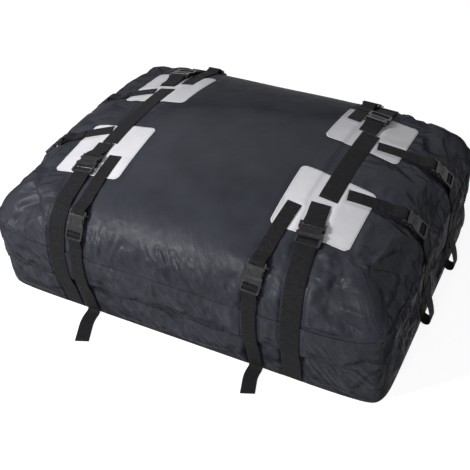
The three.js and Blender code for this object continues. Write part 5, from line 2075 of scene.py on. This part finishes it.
class Studio:
    """The pale floor, the soft lights and the camera at the photograph's angle."""

    lens = 63.47
    place = (0.8747, -1.6958, 1.6299)
    azimuth = math.radians(28.06)
    elevation = math.radians(39.54)
    roll = math.radians(-2.61)
    sensor = 36.0
    floor_tone = 0.36
    floor_glow = 0.88
    sky_light = 0.13

    def build(self) -> None:
        """Builds the floor, lights, world and camera."""
        self.floor()
        self.lights()
        self.world()
        self.camera()

    def floor(self) -> None:
        """Lays the floor, bright where the camera sees it and still shaded under the bag."""
        bm = bmesh.new()
        bmesh.ops.create_grid(bm, x_segments=1, y_segments=1, size=6)
        floor = linked("studio_floor", mesh_of("studio_floor", bm))
        material = bpy.data.materials.new("pale_floor")
        material.use_nodes = True
        w = Wiring(material.node_tree)
        shader = material.node_tree.nodes["Principled BSDF"]
        shader.inputs["Base Color"].default_value = (*[self.floor_tone] * 3, 1.0)
        shader.inputs["Roughness"].default_value = 0.9
        shader.inputs["Specular IOR Level"].default_value = 0.0
        shader.inputs["Emission Color"].default_value = (1.0, 1.0, 1.0, 1.0)
        w.feed(shader.inputs["Emission Strength"], w.math("MULTIPLY", w.seen(), self.floor_glow))
        floor.data.materials.append(material)

    def lights(self) -> None:
        """Hangs three soft lamps: a main one on the left, a weaker one in front and a faint one behind."""
        for name, place, aim, size, watts in (
            ("main_light", (-1.4, -2.1, 2.1), (0.0, 0.0, 0.2), 0.7, 90.0),
            ("fill_light", (0.5, -2.6, 2.2), (0.2, 0.0, 0.2), 0.8, 22.0),
            ("back_light", (-1.6, 2.2, 2.2), (0.0, 0.0, 0.3), 2.0, 3.0),
        ):
            data = bpy.data.lights.new(name, "AREA")
            data.shape = "SQUARE"
            data.size = size
            data.energy = watts
            lamp = linked(name, data)
            lamp.location = place
            lamp.rotation_euler = (Vector(aim) - Vector(place)).to_track_quat("-Z", "Y").to_euler()

    def world(self) -> None:
        """Sets an even pale sky that is plain white where the camera sees it."""
        world = bpy.data.worlds.new("studio_world")
        bpy.context.scene.world = world
        world.use_nodes = True
        w = Wiring(world.node_tree)
        sky = world.node_tree.nodes["Background"]
        sky.inputs["Color"].default_value = (1.0, 1.0, 1.0, 1.0)
        w.feed(sky.inputs["Strength"], w.spread(w.seen(), 0.0, 1.0, self.sky_light, 1.0))

    def camera(self) -> None:
        """Sets up the camera from its place, its two angles and its small tilt."""
        ahead = Vector((
            -math.sin(self.azimuth) * math.cos(self.elevation),
            math.cos(self.azimuth) * math.cos(self.elevation),
            -math.sin(self.elevation),
        ))
        level = Vector((math.cos(self.azimuth), math.sin(self.azimuth), 0))
        up = level.cross(ahead)
        right = level * math.cos(self.roll) + up * math.sin(self.roll)
        top = up * math.cos(self.roll) - level * math.sin(self.roll)
        data = bpy.data.cameras.new("photo_camera")
        data.lens = self.lens
        data.sensor_width = self.sensor
        data.sensor_fit = "HORIZONTAL"
        camera = linked("photo_camera", data)
        axes = Matrix((right, top, -ahead)).transposed().to_4x4()
        camera.matrix_world = Matrix.Translation(Vector(self.place)) @ axes
        bpy.context.scene.camera = camera


def dress_zip(finishes: Finishes) -> None:
    """Gives the zip's own nodes their finishes."""
    for node, material in (
        ("zip_chain", finishes.tape),
        ("zip_slider_left", finishes.metal),
        ("zip_slider_right", finishes.metal),
    ):
        mesh = bpy.data.objects[node].data
        mesh.materials.clear()
        mesh.materials.append(material)


def main() -> None:
    """Builds the dressed bag, part by part, and reports each."""
    logging.basicConfig(level=logging.INFO, format="%(name)s: %(message)s")
    scene = bpy.context.scene
    scene.view_settings.view_transform = "Standard"
    Studio().build()
    finishes = Finishes()
    relief = Relief(HAND_FOLDS, CORNER_RIDGES)
    skin = BagSkin(relief).build(finishes)
    log.info("bag skin: %d faces", len(skin.data.polygons))
    probe = SkinProbe(skin)
    patches = [GripPatches().build(corner, probe, finishes) for corner in CORNERS]
    for patch in patches:
        log.info("grip patch: %s", patch.name)
    flap = StormFlap().build(relief, finishes)
    log.info("storm flap: %s", flap.name)
    surfaces = Surfaces([skin, flap, *patches])
    seams, routes = CornerSeams().build(surfaces, finishes)
    log.info("corner seams: %d pieces", len(seams))
    stitches = Stitches(finishes)
    sewing = Sewing(surfaces, stitches)
    sewing.patches()
    sewing.flap()
    sewing.seams(routes)
    sewing.webbing()
    sewing.top_straps()
    for piece in stitches.build():
        log.info("stitches: %s", piece.name)
    straps = BuckledStraps(finishes)
    for piece in straps.build() + TopStraps().build(straps.webbing):
        log.info("strap piece: %s", piece.name)
    dress_zip(finishes)


if __name__ == "__main__":
    main()
